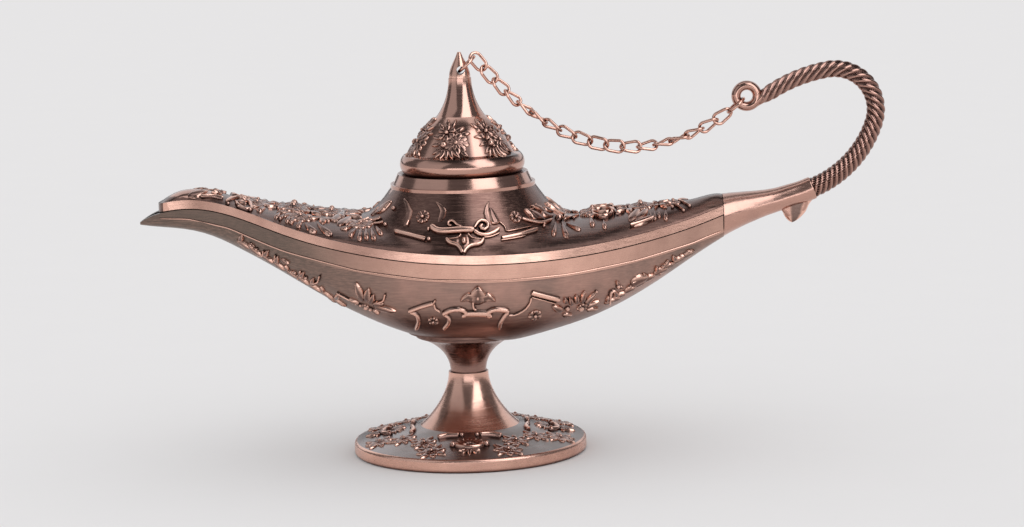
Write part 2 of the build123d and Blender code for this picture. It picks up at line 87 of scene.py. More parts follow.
# Copper surface: its noises, the spans where they tell, and the depth of a brush line
LINE_NOISE = (1.0, 3.0, 0.7)
MOTTLE_SCALE = 90.0
CLOUD_NOISE = (28.0, 2.0)
NOISE_SPAN = (0.3, 0.7)
MOTTLE_SPAN = (0.38, 0.64)
BRUSH_SPAN = (0.42, 0.80)
SHEEN_SPAN = (0.35, 0.65)
STREAK = 0.06
RECESS_SPAN = (0.35, 0.85)
RECESS_SAMPLES = 8
RECESS_ROUGHNESS = 0.15
LINE_DEPTH = 0.05

# Brush lines: how fine they are along each axis, and their turn
ROUND_LINES = (90.0, 90.0, 2600.0)
LONG_LINES = (120.0, 900.0, 2600.0)
SLANT = (0.0, math.radians(38), 0.0)
STRAIGHT = (0.0, 0.0, 0.0)

# Clusters around the lid and their patina: ragged edge, reach beside a cluster in turns, share, and heights
# and stations where it is clear and full, with its least share there
LID_CLUSTERS = 6
LID_START = -101.0
LID_RAGGED = 0.04
LID_BESIDE = (0.35, 0.45)
LID_SHARE = 0.9
LID_TOP = (98.5, 95.0, 0.0)
LID_FOOT = (86.2, 87.2, 0.0)
# Least share towards the spout: the oxide is thinned there to paint a lighter sheen
LID_PAINTED_SHEEN = (-10.0, -2.0, 0.3)

# Steel and floor
STEEL_TONES = ((0.42, 0.42, 0.43, 1.0), (0.62, 0.62, 0.62, 1.0))
STEEL_GRAIN = 900.0
STEEL_SHEEN = (0.25, 0.40)
FLOOR_GRAIN = 40.0
FLOOR_DUST = (0.5, 0.5, 0.5, 1.0)
FLOOR_DUST_SHARE = 0.04
FLOOR_ROUGHNESS = 0.9

# Raised ornament
SINK = 0.35
UPRIGHT = Vector((0, 0, 1))
ACROSS = (-1.0, -0.78, -0.42, 0.0, 0.42, 0.78, 1.0)
THIN = 0.05
CAST_REACH = 3.0
SHARP = math.radians(50)
RIB_DEPTH = 0.14
RIB_STEPS = 6
BEAD_AROUND = 12
FACE_TONE = 0.45
LEAF_HOLLOW = 0.35
PETAL_HOLLOW = 0.2
DROOP_HOLLOW = 0.3

# Rosette and blossom, in shares of radius and rise: width and base of a petal, the bead, the rings
ROSETTE_PETAL = (2.2, 0.2)
ROSETTE_BEAD = (0.32, 1.15)
BLOSSOM_PETAL = (2.4, 0.15)
BLOSSOM_BEAD = (0.28, 0.95)
BLOSSOM_RINGS = ((1.0, 0.7), (0.62, 1.0))

# Rope handle, its strands and its eye
ROPE_START = (101.5, 74.7)
ROPE_HEADING = 20.6
ROPE_ARCS = ((30.2, 50.7), (12.0, 117.6), (44.4, 29.6))
ROPE_RADII = (2.99, 2.3)
ROPE_STRANDS = 6
ROPE_PITCHES = (10.0, 17.0)
ROPE_GROOVE = 0.75
ROPE_STEP = 0.4
ROPE_AROUND = 132
ROPE_TAPER = 6.0
EYE_OFFSET = (-2.7, 2.1)
EYE_RADIUS = 3.05
EYE_WALL = 1.38
EYE_HALF_WIDTH = 1.9


# Camera
level_right = Vector((1, 0, 0))
level_up = Vector((0, math.sin(CAMERA_PITCH), math.cos(CAMERA_PITCH)))
forward = Vector((0, math.cos(CAMERA_PITCH), -math.sin(CAMERA_PITCH)))
right = level_right * math.cos(CAMERA_ROLL) - level_up * math.sin(CAMERA_ROLL)
up = level_right * math.sin(CAMERA_ROLL) + level_up * math.cos(CAMERA_ROLL)

camera_data = bpy.data.cameras.new("camera")
camera_data.sensor_fit = "HORIZONTAL"
camera_data.sensor_width = SENSOR
camera_data.lens = FOCAL_PIXELS / PICTURE_WIDTH * SENSOR
camera_data.clip_end = CAMERA_REACH
camera = bpy.data.objects.new("camera", camera_data)
turn = Matrix((right, up, -forward)).transposed().to_4x4()
camera.matrix_world = Matrix.Translation(CAMERA_PLACE) @ turn
bpy.context.scene.collection.objects.link(camera)
bpy.context.scene.camera = camera


def sight(pixel):
    """Direction from the camera through a place on the picture."""
    across = (pixel[0] - PICTURE_WIDTH / 2) / FOCAL_PIXELS
    upward = (PICTURE_HEIGHT / 2 - pixel[1]) / FOCAL_PIXELS
    return (forward + right * across + up * upward).normalized()


# Light
def softbox(name, bearing, rise, distance, width, height, brightness):
    """A card of light that shows in the metal and leaves the floor to the even room."""
    data = bpy.data.lights.new(name, "AREA")
    data.shape = "RECTANGLE"
    data.size = width * MM
    data.size_y = height * MM
    data.energy = brightness * math.pi * data.size * data.size_y
    data.color = CARD_SHADE
    lamp = bpy.data.objects.new(name, data)
    turned = math.radians(bearing)
    raised = math.radians(rise)
    level = Vector((math.sin(turned), -math.cos(turned), 0)) * math.cos(raised)
    away = level + Vector((0, 0, math.sin(raised)))
    lamp.location = (AIM + away * distance) * MM
    lamp.rotation_euler = (-away).to_track_quat("-Z", "Y").to_euler()
    lamp.visible_camera = False
    lamp.visible_diffuse = False
    bpy.context.scene.collection.objects.link(lamp)


for card_name, card in CARDS.items():
    softbox(card_name, *card)


def studio():
    """An even pale room for the floor, which polished metal sees as a dim one."""
    world = bpy.data.worlds.new("studio")
    world.use_nodes = True
    tree = world.node_tree
    tree.nodes.clear()
    mixer = tree.nodes.new("ShaderNodeMixShader")
    for place, shade in ((1, SKY_SHADE), (2, ROOM_SHADE)):
        sky = tree.nodes.new("ShaderNodeBackground")
        sky.inputs["Color"].default_value = shade
        tree.links.new(sky.outputs["Background"], mixer.inputs[place])
    rays = tree.nodes.new("ShaderNodeLightPath")
    tree.links.new(rays.outputs["Is Glossy Ray"], mixer.inputs["Fac"])
    tree.links.new(mixer.outputs["Shader"], tree.nodes.new("ShaderNodeOutputWorld").inputs["Surface"])
    bpy.context.scene.world = world


studio()
bpy.context.scene.view_settings.view_transform = "Standard"


# Materials
class Graph:
    """The nodes of one material, written in the order in which their values flow."""

    def __init__(self, name):
        self.material = bpy.data.materials.new(name)
        self.material.use_nodes = True
        self.tree = self.material.node_tree
        self.tree.nodes.clear()
        self.place = self.node("ShaderNodeTexCoord", {}).outputs["Object"]

    def node(self, kind, inputs, **settings):
        made = self.tree.nodes.new(kind)
        for key, value in settings.items():
            setattr(made, key, value)
        for key, value in inputs.items():
            if isinstance(value, bpy.types.NodeSocket):
                self.tree.links.new(value, made.inputs[key])
            else:
                made.inputs[key].default_value = value
        return made

    def math(self, operation, first, second, clamp=False):
        made = self.node("ShaderNodeMath", {0: first, 1: second}, operation=operation, use_clamp=clamp)
        return made.outputs[0]

    def span(self, value, low, high, to_low, to_high):
        inputs = {"Value": value, "From Min": low, "From Max": high, "To Min": to_low, "To Max": to_high}
        return self.node("ShaderNodeMapRange", inputs).outputs["Result"]

    def mix(self, factor, first, second):
        made = self.node("ShaderNodeMix", {"Factor": factor, 6: first, 7: second}, data_type="RGBA")
        return made.outputs[2]

    def noise(self, vector, scale, detail=4.0, roughness=0.6):
        inputs = {"Vector": vector, "Scale": scale, "Detail": detail, "Roughness": roughness}
        return self.node("ShaderNodeTexNoise", inputs).outputs["Fac"]

    def close(self, inputs):
        shader = self.node("ShaderNodeBsdfPrincipled", inputs).outputs["BSDF"]
        self.node("ShaderNodeOutputMaterial", {"Surface": shader})
        return self.material


def growing_darkening(axis, ragged, start, full, share):
    """Share of a darker tone that grows along an axis from its start to where it is full, with a ragged
    edge.
    """
    def darkening(graph, cloud):
        along = graph.node("ShaderNodeSeparateXYZ", {"Vector": graph.place}).outputs[axis]
        along = graph.math("ADD", along, graph.span(cloud, *NOISE_SPAN, -ragged * MM, ragged * MM))
        return graph.span(along, start * MM, full * MM, 0.0, share)
    return darkening


def lid_patina_and_painted_sheen(graph, cloud):
    """Share of the dark oxide around the lid's clusters, thinned on the side of the spout to paint a lighter
    sheen there.
    """
    axes = graph.node("ShaderNodeSeparateXYZ", {"Vector": graph.place}).outputs
    angle = graph.math("ARCTAN2", axes["Y"], axes["X"])
    turns = graph.math("MULTIPLY", angle, LID_CLUSTERS / (2 * math.pi))
    turns = graph.math("FRACT", graph.math("ADD", turns, 0.5 - LID_START * LID_CLUSTERS / 360), 0.0)
    apart = graph.math("ABSOLUTE", graph.math("SUBTRACT", turns, 0.5), 0.0)
    apart = graph.math("ADD", apart, graph.span(cloud, *NOISE_SPAN, -LID_RAGGED, LID_RAGGED))
    share = graph.span(apart, *LID_BESIDE, LID_SHARE, 0.0)
    # The X station thins the oxide towards the spout, a painted lighter sheen
    for axis, (clear, full, least) in (("Z", LID_TOP), ("Z", LID_FOOT), ("X", LID_PAINTED_SHEEN)):
        share = graph.math("MULTIPLY", share, graph.span(axes[axis], clear * MM, full * MM, least, 1.0))
    return share


def copper(name, tones, sheen, brush_scale, brushed, relief=None, tops=(), patinas_and_painted_shade=(), reach=RECESS_REACH,
           brush_turn=STRAIGHT):
    """Aged copper: two tones mottled over the flats, a dark tone in the recesses and fine brush lines.

    relief gives the tone of the tops where the mesh has a height of its own, tops the heights where it
    starts and is full, and the list of shares holds pairs of a share over the surface and its tone: real
    oxide, a painted dark reflection, a painted lighter sheen and plain darkening among them.
    """
    flat, worn, recess = tones
    graph = Graph(name)
    brushing = {"Vector": graph.place, "Rotation": brush_turn, "Scale": brush_scale}
    turned = graph.node("ShaderNodeMapping", brushing)
    lines = graph.noise(turned.outputs["Vector"], *LINE_NOISE)
    mottle = graph.noise(graph.place, MOTTLE_SCALE)
    cloud = graph.noise(graph.place, *CLOUD_NOISE)
    mixed = graph.math("ADD", graph.math("MULTIPLY", mottle, 0.5), graph.math("MULTIPLY", cloud, 0.5))
    tone = graph.mix(graph.span(mixed, *MOTTLE_SPAN, 0.0, 1.0), flat, worn)
    # Laid over the flats: real oxide, a painted dark reflection towards the spout, a painted lighter sheen
    # on the lid and plain darkening
    for share, shade in patinas_and_painted_shade:
        tone = graph.mix(share(graph, cloud), tone, shade)
    tone = graph.mix(graph.span(lines, *BRUSH_SPAN, 0.0, brushed), tone, BRIGHT)
    streak = graph.span(lines, *NOISE_SPAN, -STREAK, STREAK)
    if relief is not None:
        height = graph.node("ShaderNodeAttribute", {}, attribute_name="relief").outputs["Fac"]
        height = graph.math("ADD", height, streak)
        tone = graph.mix(graph.span(height, *tops, 0.0, 1.0), tone, relief)
    open_sky = graph.node("ShaderNodeAmbientOcclusion", {"Distance": reach * MM}, samples=RECESS_SAMPLES)
    depth = graph.span(graph.math("ADD", open_sky.outputs["AO"], streak), *RECESS_SPAN, 1.0, 0.0)
    tone = graph.mix(depth, tone, recess)
    rough = graph.math("ADD", graph.span(mixed, *SHEEN_SPAN, *sheen), streak)
    rough = graph.math("ADD", rough, graph.math("MULTIPLY", depth, RECESS_ROUGHNESS), clamp=True)
    bump = graph.node("ShaderNodeBump", {"Height": lines, "Strength": brushed, "Distance": LINE_DEPTH * MM})
    inputs = {"Base Color": tone, "Metallic": 1.0, "Roughness": rough, "Normal": bump.outputs["Normal"]}
    return graph.close(inputs)


# Darker tones that grow along the lamp: axis, ragged edge, start, where full, share. Towards the spout it is
# a painted dark reflection; towards the tail and the bottom the copper is only darker.
spout_painted_reflection = growing_darkening("X", 8.0, -8.0, -52.0, 1.0)
# Darker towards the tail
tail_darkening = growing_darkening("X", 8.0, 20.0, 66.0, 0.4)
# Darker towards the bottom of the belly
low_darkening = growing_darkening("Z", 1.0, 46.0, 40.0, 0.85)

# Tones of each finish: flat, worn, recess
POLISHED = (BRIGHT, WARM, BROWN)
TURNED = (WARM, BRIGHT, BROWN)
DULL = (SOFT, AGED, BLACK)
DARK = (BROWN, SEPIA, BLACK)
SHADED = (UMBER, BROWN, BLACK)
STEM = (SEPIA, SOFT, BLACK)
MELLOW = (WARM, SOFT, BROWN)
FOOT_TOP = (PALE, GREY, BLACK)
CARVED = (BROWN, AGED, BLACK)

strip_copper = copper("strip_copper", POLISHED, (0.20, 0.32), LONG_LINES, 0.12)
# Band and belly: a painted dark reflection towards the spout
band_copper = copper("band_copper", POLISHED, (0.22, 0.34), LONG_LINES, 0.12,
                     patinas_and_painted_shade=((spout_painted_reflection, OLIVE), (tail_darkening, OLIVE)))
belly_copper = copper("belly_copper", DULL, (0.30, 0.42), LONG_LINES, 0.25,
                      patinas_and_painted_shade=((spout_painted_reflection, OLIVE), (tail_darkening, OLIVE), (low_darkening, BROWN)),
                      brush_turn=SLANT)
deck_copper = copper("deck_copper", SHADED, (0.19, 0.30), LONG_LINES, 0.18)
collar_copper = copper("collar_copper", MELLOW, (0.10, 0.18), ROUND_LINES, 0.10)
turned_copper = copper("turned_copper", TURNED, (0.18, 0.28), ROUND_LINES, 0.12)
# Dark oxide around the clusters, thinned towards the spout as a painted sheen
lid_copper = copper("lid_copper", MELLOW, (0.12, 0.22), ROUND_LINES, 0.10, patinas_and_painted_shade=((lid_patina_and_painted_sheen, BLACK),))
stem_copper = copper("stem_copper", STEM, (0.20, 0.30), ROUND_LINES, 0.12)
tail_copper = copper("tail_copper", MELLOW, (0.18, 0.28), LONG_LINES, 0.12)
disc_copper = copper("disc_copper", FOOT_TOP, (0.22, 0.34), ROUND_LINES, 0.12)
chain_copper = copper("chain_copper", POLISHED, (0.10, 0.20), ROUND_LINES, 0.05, reach=FINE_REACH)
rope_copper = copper("rope_copper", DARK, (0.08, 0.14), ROUND_LINES, 0.03, WARM, (0.6, 1.2),
                     reach=FINE_REACH)
deck_relief = copper("deck_relief", DARK, (0.13, 0.22), ROUND_LINES, 0.04, BRIGHT, (0.42, 0.98),
                     reach=FINE_REACH)
belly_relief = copper("belly_relief", CARVED, (0.20, 0.30), ROUND_LINES, 0.05, BRIGHT, (0.45, 0.95),
                      reach=FINE_REACH)


def steel():
    graph = Graph("screw_steel")
    grain = graph.noise(graph.place, STEEL_GRAIN)
    rough = graph.span(grain, *NOISE_SPAN, *STEEL_SHEEN)
    inputs = {"Base Color": graph.mix(grain, *STEEL_TONES), "Metallic": 1.0, "Roughness": rough}
    return graph.close(inputs)


def floor_paint():
    graph = Graph("floor_paint")
    grain = graph.noise(graph.place, FLOOR_GRAIN)
    tone = graph.mix(graph.math("MULTIPLY", grain, FLOOR_DUST_SHARE), FLOOR_SHADE, FLOOR_DUST)
    inputs = {"Base Color": tone, "Roughness": FLOOR_ROUGHNESS, "Specular IOR Level": 0.0}
    return graph.close(inputs)


def paint(node, *materials):
    mesh = nodes[node].data
    mesh.materials.clear()
    for material in materials:
        mesh.materials.append(material)


steel_metal = steel()
for node in nodes:
    if node.startswith("chain_link") or node.endswith("jump_ring"):
        paint(node, chain_copper)
paint("stem_screw", steel_metal)
paint("stem_washer", steel_metal)
paint("foot", turned_copper, disc_copper, strip_copper)
paint("lid", lid_copper)
paint("lid_finial", turned_copper)
paint("bowl", belly_copper, band_copper, stem_copper, tail_copper)
paint("cover", deck_copper, strip_copper, collar_copper)
paint("rope_handle", rope_copper)

# Floor
floor_mesh = bpy.data.meshes.new("floor")
corner = FLOOR_HALF * MM
floor_corners = [(x * corner, y * corner, 0) for x, y in ((-1, -1), (1, -1), (1, 1), (-1, 1))]
floor_mesh.from_pydata(floor_corners, [], [(0, 1, 2, 3)])
floor_mesh.materials.append(floor_paint())
floor = bpy.data.objects.new("floor", floor_mesh)
bpy.context.scene.collection.objects.link(floor)


def piece(name, points, faces, heights, material, body, slot):
    """A closed mesh with its height above the carrier kept on every point."""
    mesh = bpy.data.meshes.new(name)
    mesh.from_pydata(points, [], faces)
    heights_kept = mesh.attributes.new("relief", "FLOAT", "POINT")
    heights_kept.data.foreach_set("value", heights)
    shell = bmesh.new()
    shell.from_mesh(mesh)
    bmesh.ops.recalc_face_normals(shell, faces=shell.faces)
    shell.to_mesh(mesh)
    shell.free()
    mesh.polygons.foreach_set("use_smooth", [True] * len(mesh.polygons))
    mesh.set_sharp_from_angle(angle=SHARP)
    mesh.materials.append(material)
    made = bpy.data.objects.new(name, mesh)
    bpy.context.scene.collection.objects.link(made)
    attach(made, body)
    return made


def tube_faces(rows, around, ring=False):
    """Faces between rows of points around a tube, which is bent into a ring or closed at both ends."""
    faces = []
    for row in range(rows if ring else rows - 1):
        here = row * around
        ahead = (row + 1) % rows * around
        for column in range(around):
            aside = (column + 1) % around
            faces.append((here + column, here + aside, ahead + aside, ahead + column))
    if not ring:
        faces.append(tuple(range(around)))
        faces.append(tuple(range((rows - 1) * around, rows * around)))
    return faces


# Rope handle
def rope_route():
    """Places and headings along the rope, a step apart, and on to the middle of the eye's wall."""
    x, z = ROPE_START
    heading = math.radians(ROPE_HEADING)
    route = [(x, z, heading)]
    for radius, turn_degrees in ROPE_ARCS:
        sweep = math.radians(turn_degrees)
        steps = max(2, round(radius * sweep / ROPE_STEP))
        for _ in range(steps):
            half = sweep / steps / 2
            chord = 2 * radius * math.sin(half)
            x += chord * math.cos(heading + half)
            z += chord * math.sin(heading + half)
            heading += 2 * half
            route.append((x, z, heading))
    reach = EYE_OFFSET[0] * math.cos(heading) + EYE_OFFSET[1] * math.sin(heading)
    for share in (0.5, 1.0):
        route.append((x + share * reach * math.cos(heading), z + share * reach * math.sin(heading), heading))
    return route


def rope_mesh(route):
    """Twisted strands that open out along the rope and run smoothly into the eye's wall."""
    points = []
    heights = []
    steps = [math.dist(a[:2], b[:2]) for a, b in zip(route, route[1:])]
    length = sum(steps)
    aside = EYE_OFFSET[1] * math.cos(route[-1][2]) - EYE_OFFSET[0] * math.sin(route[-1][2]) + EYE_RADIUS
    along = 0.0
    turns = 0.0
    for row, (x, z, heading) in enumerate(route):
        share = along / length
        radius = ROPE_RADII[0] + (ROPE_RADII[1] - ROPE_RADII[0]) * share
        near = max(0.0, 1 - (length - along) / ROPE_TAPER)
        joined = near * near * (3 - 2 * near)
        depth = radius + (EYE_WALL - radius) * joined
        breadth = radius + (EYE_HALF_WIDTH - radius) * joined
        inward = Vector((-math.sin(heading), 0, math.cos(heading)))
        sideways = Vector((math.cos(heading), 0, math.sin(heading))).cross(inward)
        middle = Vector((x, 0, z)) + inward * aside * joined
        for column in range(ROPE_AROUND):
            angle = 2 * math.pi * column / ROPE_AROUND
            crest = abs(math.cos(ROPE_STRANDS / 2 * (angle + 2 * math.pi * turns)))
            groove = ROPE_GROOVE * (1 - crest) * (1 - joined)
            spot = middle + inward * math.cos(angle) * (depth - groove)
            points.append((spot + sideways * math.sin(angle) * (breadth - groove)) * MM)
            heights.append(crest + (1 - crest) * joined)
        if row < len(steps):
            along += steps[row]
            turns += steps[row] / (ROPE_PITCHES[0] + (ROPE_PITCHES[1] - ROPE_PITCHES[0]) * share)
    return points, tube_faces(len(route), ROPE_AROUND), heights


def eye_mesh(centre, around=72, section=28):
    points = []
    for row in range(around):
        angle = 2 * math.pi * row / around
        outward = Vector((math.cos(angle), 0, math.sin(angle)))
        for column in range(section):
            tilt = 2 * math.pi * column / section
            reach = EYE_RADIUS + EYE_WALL * math.cos(tilt)
            points.append((centre + outward * reach + Vector((0, EYE_HALF_WIDTH * math.sin(tilt), 0))) * MM)
    return points, tube_faces(around, section, ring=True), [1.0] * len(points)


route = rope_route()
rope = piece("rope_strands", *rope_mesh(route), rope_copper, "lamp", "rope_copper")
rope_end = route[-3]
eye_centre = Vector((rope_end[0] + EYE_OFFSET[0], 0, rope_end[1] + EYE_OFFSET[1]))
eye = piece("rope_eye", *eye_mesh(eye_centre), rope_copper, "lamp", "rope_copper")
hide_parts("rope_handle")
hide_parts("rope_handle")


# Smooth lines
def eased(k, count):
    """Share of a line at each of its places, which are closer together at its ends."""
    return 0.5 - 0.5 * math.cos(math.pi * k / (count - 1))


def even_curve(places, count):
    """Smooth line through places."""
    last = len(places) - 1
    line = []
    for k in range(count):
        share = eased(k, count)
        i = min(int(share * last), last - 1)
        f = share * last - i
        before = Vector(places[max(i - 1, 0)])
        a = Vector(places[i])
        b = Vector(places[i + 1])
        after = Vector(places[min(i + 2, last)])
        bend = (b - before) * f + (2 * before - 5 * a + 4 * b - after) * f * f
        line.append(a + 0.5 * (bend + (3 * a - before - 3 * b + after) * f * f * f))
    return line


# Tail: a sleeve that carries the tail's line to the rope, and a hollow leaf around the spur
SLEEVE = (
    (87.5, 70.65, 10.0, 3.75, 4.45), (91.5, 71.6, 14.0, 3.42, 4.02), (95.0, 72.65, 18.0, 3.28, 3.66),
    (98.3, 73.5, 20.6, 3.31, 3.42), (101.3, 74.63, 20.6, 3.31, 3.31),
)
SLEEVE_END = (101.56, 74.72, 20.6, 3.12, 3.12)
SLEEVE_ROWS = 24
SPUR_HEEL = ((91.9, 69.6), (92.6, 68.0), (93.3, 66.4), (94.3, 65.2), (95.2, 64.75))
SPUR_TOE = ((101.8, 71.6), (100.4, 69.9), (99.3, 67.7), (97.4, 65.8), (95.4, 64.72))
SPUR_HALF_WIDTH = 2.1
SPUR_HOLLOW = 0.17
SPUR_HOLLOW_HALF = 0.3
SPUR_SHADE = 0.75
SPUR_FULLNESS = 6
SPUR_TIP = 0.1


def sleeve_mesh(around=64):
    points = []
    sections = even_curve(SLEEVE, SLEEVE_ROWS) + [SLEEVE_END]
    for x, z, heading, depth, breadth in sections:
        tilt = math.radians(heading)
        upward = Vector((-math.sin(tilt), 0, math.cos(tilt))) * depth
        for column in range(around):
            angle = 2 * math.pi * column / around
            sideways = Vector((0, breadth * math.sin(angle), 0))
            points.append((Vector((x, 0, z)) + upward * math.cos(angle) + sideways) * MM)
    return points, tube_faces(len(sections), around), [1.0] * len(points)


def spur_mesh(rows=25, across=24):
    """A leaf with a raised rim and a hollow face on both sides."""
    points = []
    heights = []
    heel = even_curve(SPUR_HEEL, rows)
    toe = even_curve(SPUR_TOE, rows)
    for row in range(rows):
        thick = SPUR_HALF_WIDTH * max(SPUR_TIP, math.sqrt(1 - eased(row, rows) ** SPUR_FULLNESS))
        for column in range(2 * across):
            u = eased(column, across + 1)
            place = heel[row].lerp(toe[row], u)
            rim = math.sin(math.pi * u)
            hollow = SPUR_HOLLOW * max(0.0, 1 - ((u - 0.5) / SPUR_HOLLOW_HALF) ** 2)
            side = -1 if column < across else 1
            points.append(Vector((place.x, side * thick * (math.sqrt(rim) - hollow * rim), place.y)) * MM)
            heights.append(1 - SPUR_SHADE * hollow / SPUR_HOLLOW)
    return points, tube_faces(rows, 2 * across), heights


piece("tail_sleeve", *sleeve_mesh(), tail_copper, "lamp", "bowl_copper")
piece("spur_leaf", *spur_mesh(), belly_relief, "lamp", "bowl_copper")


# Forms of the raised ornament, in shares of their length: ends, broadest place, powers of the swelling, base
STRAP_END = 0.07
LEAF_ENDS = (0.2, 0.3)
LEAF_BROADEST = 0.4
LEAF_POWERS = (0.6, 0.85)
LEAF_BASE = 0.6
PETAL_END = 0.25
PETAL_BREADTH = 1.25
PETAL_POWERS = (0.7, 4)
PETAL_BASE = 0.45
DROOP_END = 0.15
DROOP_BROADEST = 0.55
DROOP_POWERS = (0.6, 0.55)
DROOP_FALL = 0.55
DROOP_BASE = 0.5


def swelling(share, broadest, powers):
    """Breadth that grows up to the broadest place and falls off after it."""
    if share < broadest:
        return (share / broadest) ** powers[0]
    return ((1 - share) / (1 - broadest)) ** powers[1]


def growing(share, base):
    return base + (1 - base) * share


def heading(degrees):
    """Unit step at an angle on a flat plot."""
    angle = math.radians(degrees)
    return Vector((math.cos(angle), math.sin(angle)))


# Each form gives the breadth, height and brightness at a share of its length
def strap_form(share):
    end = min(1.0, min(share, 1 - share) / STRAP_END)
    return math.sqrt(1 - (1 - end) ** 2), 1.0, 1.0


def leaf_form(share):
    """Pointed at the tip, broadest before its middle, with a tip that lifts."""
    ends = min(1.0, share / LEAF_ENDS[0], (1 - share) / LEAF_ENDS[1])
    rising = growing(share, LEAF_BASE)
    return swelling(share, LEAF_BROADEST, LEAF_POWERS), rising * math.sqrt(ends), rising


def petal_form(share):
    """Narrow at its base and round at the end."""
    end = min(1.0, (1 - share) / PETAL_END)
    rising = growing(share, PETAL_BASE)
    broad = PETAL_BREADTH * share ** PETAL_POWERS[0] * math.sqrt(1 - share ** PETAL_POWERS[1])
    return broad, rising * math.sqrt(end), rising


def droop_form(share):
    """High at its base, broadest past its middle, and drooping to a blunt tip."""
    height = (1 - DROOP_FALL * share) * math.sqrt(min(1.0, (1 - share) / DROOP_END))
    return swelling(share, DROOP_BROADEST, DROOP_POWERS), height, growing(share, DROOP_BASE)


# Raised ornament on its carriers
class Carver:
    """Closed raised shells on one CAD node, gathered into one mesh."""

    def __init__(self, node):
        mesh = nodes[node].data
        corners = [vertex.co for vertex in mesh.vertices]
        self.surface = BVHTree.FromPolygons(corners, [polygon.vertices for polygon in mesh.polygons])
        self.points = []
        self.faces = []
        self.heights = []

    def struck(self, start, way):
        """The place where a straight line first meets the node."""
        spot, normal, _, _ = self.surface.ray_cast(start, way)
        return spot, normal

    def sighted(self, pixel):
        """The place on the node that the picture shows at a pixel."""
        return self.struck(CAMERA_PLACE, sight(pixel))

    def seat(self, spot, normal):
        """The place on the node straight below or above a spot."""
        reach = CAST_REACH * MM
        found, facing, _, _ = self.surface.ray_cast(spot + normal * reach, -normal, 2 * reach)
        if found is None:
            return spot, normal
        return found, facing

    def plot(self, spot, normal, level):
        """Locator of places in millimetres on the node around a spot: to the right, and up or inward."""
        aside = level.cross(normal).normalized()
        upward = normal.cross(aside)
        return lambda place: self.seat(spot + (aside * place[0] + upward * place[1]) * MM, normal)

    def plot_at(self, pixel):
        spot, normal = self.sighted(pixel)
        return self.plot(spot, normal, UPRIGHT)

    def add(self, spot, height):
        self.points.append(spot)
        self.heights.append(height)
        return len(self.points) - 1

    def blade(self, locate, places, width, rise, form, hollow=0.0, rows=9):
        """A raised band along a line of places, shaped along its length by form."""
        line = [locate(place) for place in even_curve(places, rows)]
        line = [(spot, normal) for spot, normal in line if spot is not None]
        if len(line) < rows:
            return
        grid = []
        for k, (spot, _) in enumerate(line):
            nearby = line[max(k - 1, 0):k + 2]
            normal = sum((facing for _, facing in nearby), Vector()).normalized()
            ahead = nearby[-1][0] - nearby[0][0]
            aside = normal.cross(ahead).normalized()
            broad, tall, tone = form(eased(k, rows))
            row = []
            for t in ACROSS:
                height = tall * (1 - abs(t) ** 3 - hollow * max(0.0, 1 - (t / ACROSS[-2]) ** 2))
                if k in (0, rows - 1) or abs(t) == 1:
                    height = -SINK / rise
                foot_spot, _ = self.seat(spot + aside * (width / 2 * max(broad, THIN) * t * MM), normal)
                shown = height if hollow == 0.0 else tone * growing(abs(t) / ACROSS[-2], FACE_TONE)
                row.append(self.add(foot_spot + normal * (height * rise * MM), max(0.0, shown)))
            grid.append(row)
        for first, second in zip(grid, grid[1:]):
            for k in range(len(ACROSS) - 1):
                self.faces.append((first[k], first[k + 1], second[k + 1], second[k]))
            self.faces.append((first[0], second[0], second[-1], first[-1]))
        self.faces.append(tuple(grid[0]))
        self.faces.append(tuple(grid[-1]))

    def bead(self, locate, place, radius, rise, stretch=1.0, ribs=0, rings=6):
        """A rounded bead, sunk by part of its own height, plain or with ribs from its top."""
        spot, normal = locate(place)
        if spot is None:
            return
        around = max(BEAD_AROUND, RIB_STEPS * ribs)
        aside = UPRIGHT.cross(normal).normalized()
        upward = normal.cross(aside)
        top = self.add(spot + normal * rise * MM, 1.0)
        bottom = self.add(spot - normal * SINK * MM, 0.0)
        bands = []
        for ring in range(1, rings):
            tilt = math.pi * (0.5 - ring / rings)
            height = math.sin(tilt) * (rise if tilt > 0 else SINK)
            band = []
            for k in range(around):
                angle = 2 * math.pi * k / around
                crest = abs(math.cos(ribs / 2 * angle))
                swell = 1 - RIB_DEPTH * (1 - crest)
                reach = aside * math.cos(angle) + upward * (math.sin(angle) * stretch)
                where = spot + (reach * (radius * math.cos(tilt)) + normal * height) * swell * MM
                band.append(self.add(where, max(0.0, crest * (math.sin(tilt) if ribs == 0 else 1.0))))
            bands.append(band)
        for k in range(around):
            n = (k + 1) % around
            self.faces.append((top, bands[0][k], bands[0][n]))
            self.faces.append((bottom, bands[-1][n], bands[-1][k]))
            for upper, lower in zip(bands, bands[1:]):
                self.faces.append((upper[k], lower[k], lower[n], upper[n]))

    def strap(self, locate, places, width, rise, rows=14):
        self.blade(locate, places, width, rise, strap_form, rows=rows)

    def leaf(self, locate, places, width, rise):
        self.blade(locate, places, width, rise, leaf_form, LEAF_HOLLOW)

    def petal(self, locate, places, width, rise):
        self.blade(locate, places, width, rise, petal_form, PETAL_HOLLOW)

    def rosette(self, locate, place, radius, petals, rise, start=90.0):
        """Round petals about a bead."""
        centre = Vector(place)
        broad, base = ROSETTE_PETAL
        for k in range(petals):
            way = heading(start + 360 * k / petals) * radius
            width = broad * radius * math.sin(math.pi / petals)
            self.petal(locate, (centre + way * base, centre + way), width, rise)
        self.bead(locate, place, ROSETTE_BEAD[0] * radius, ROSETTE_BEAD[1] * rise)

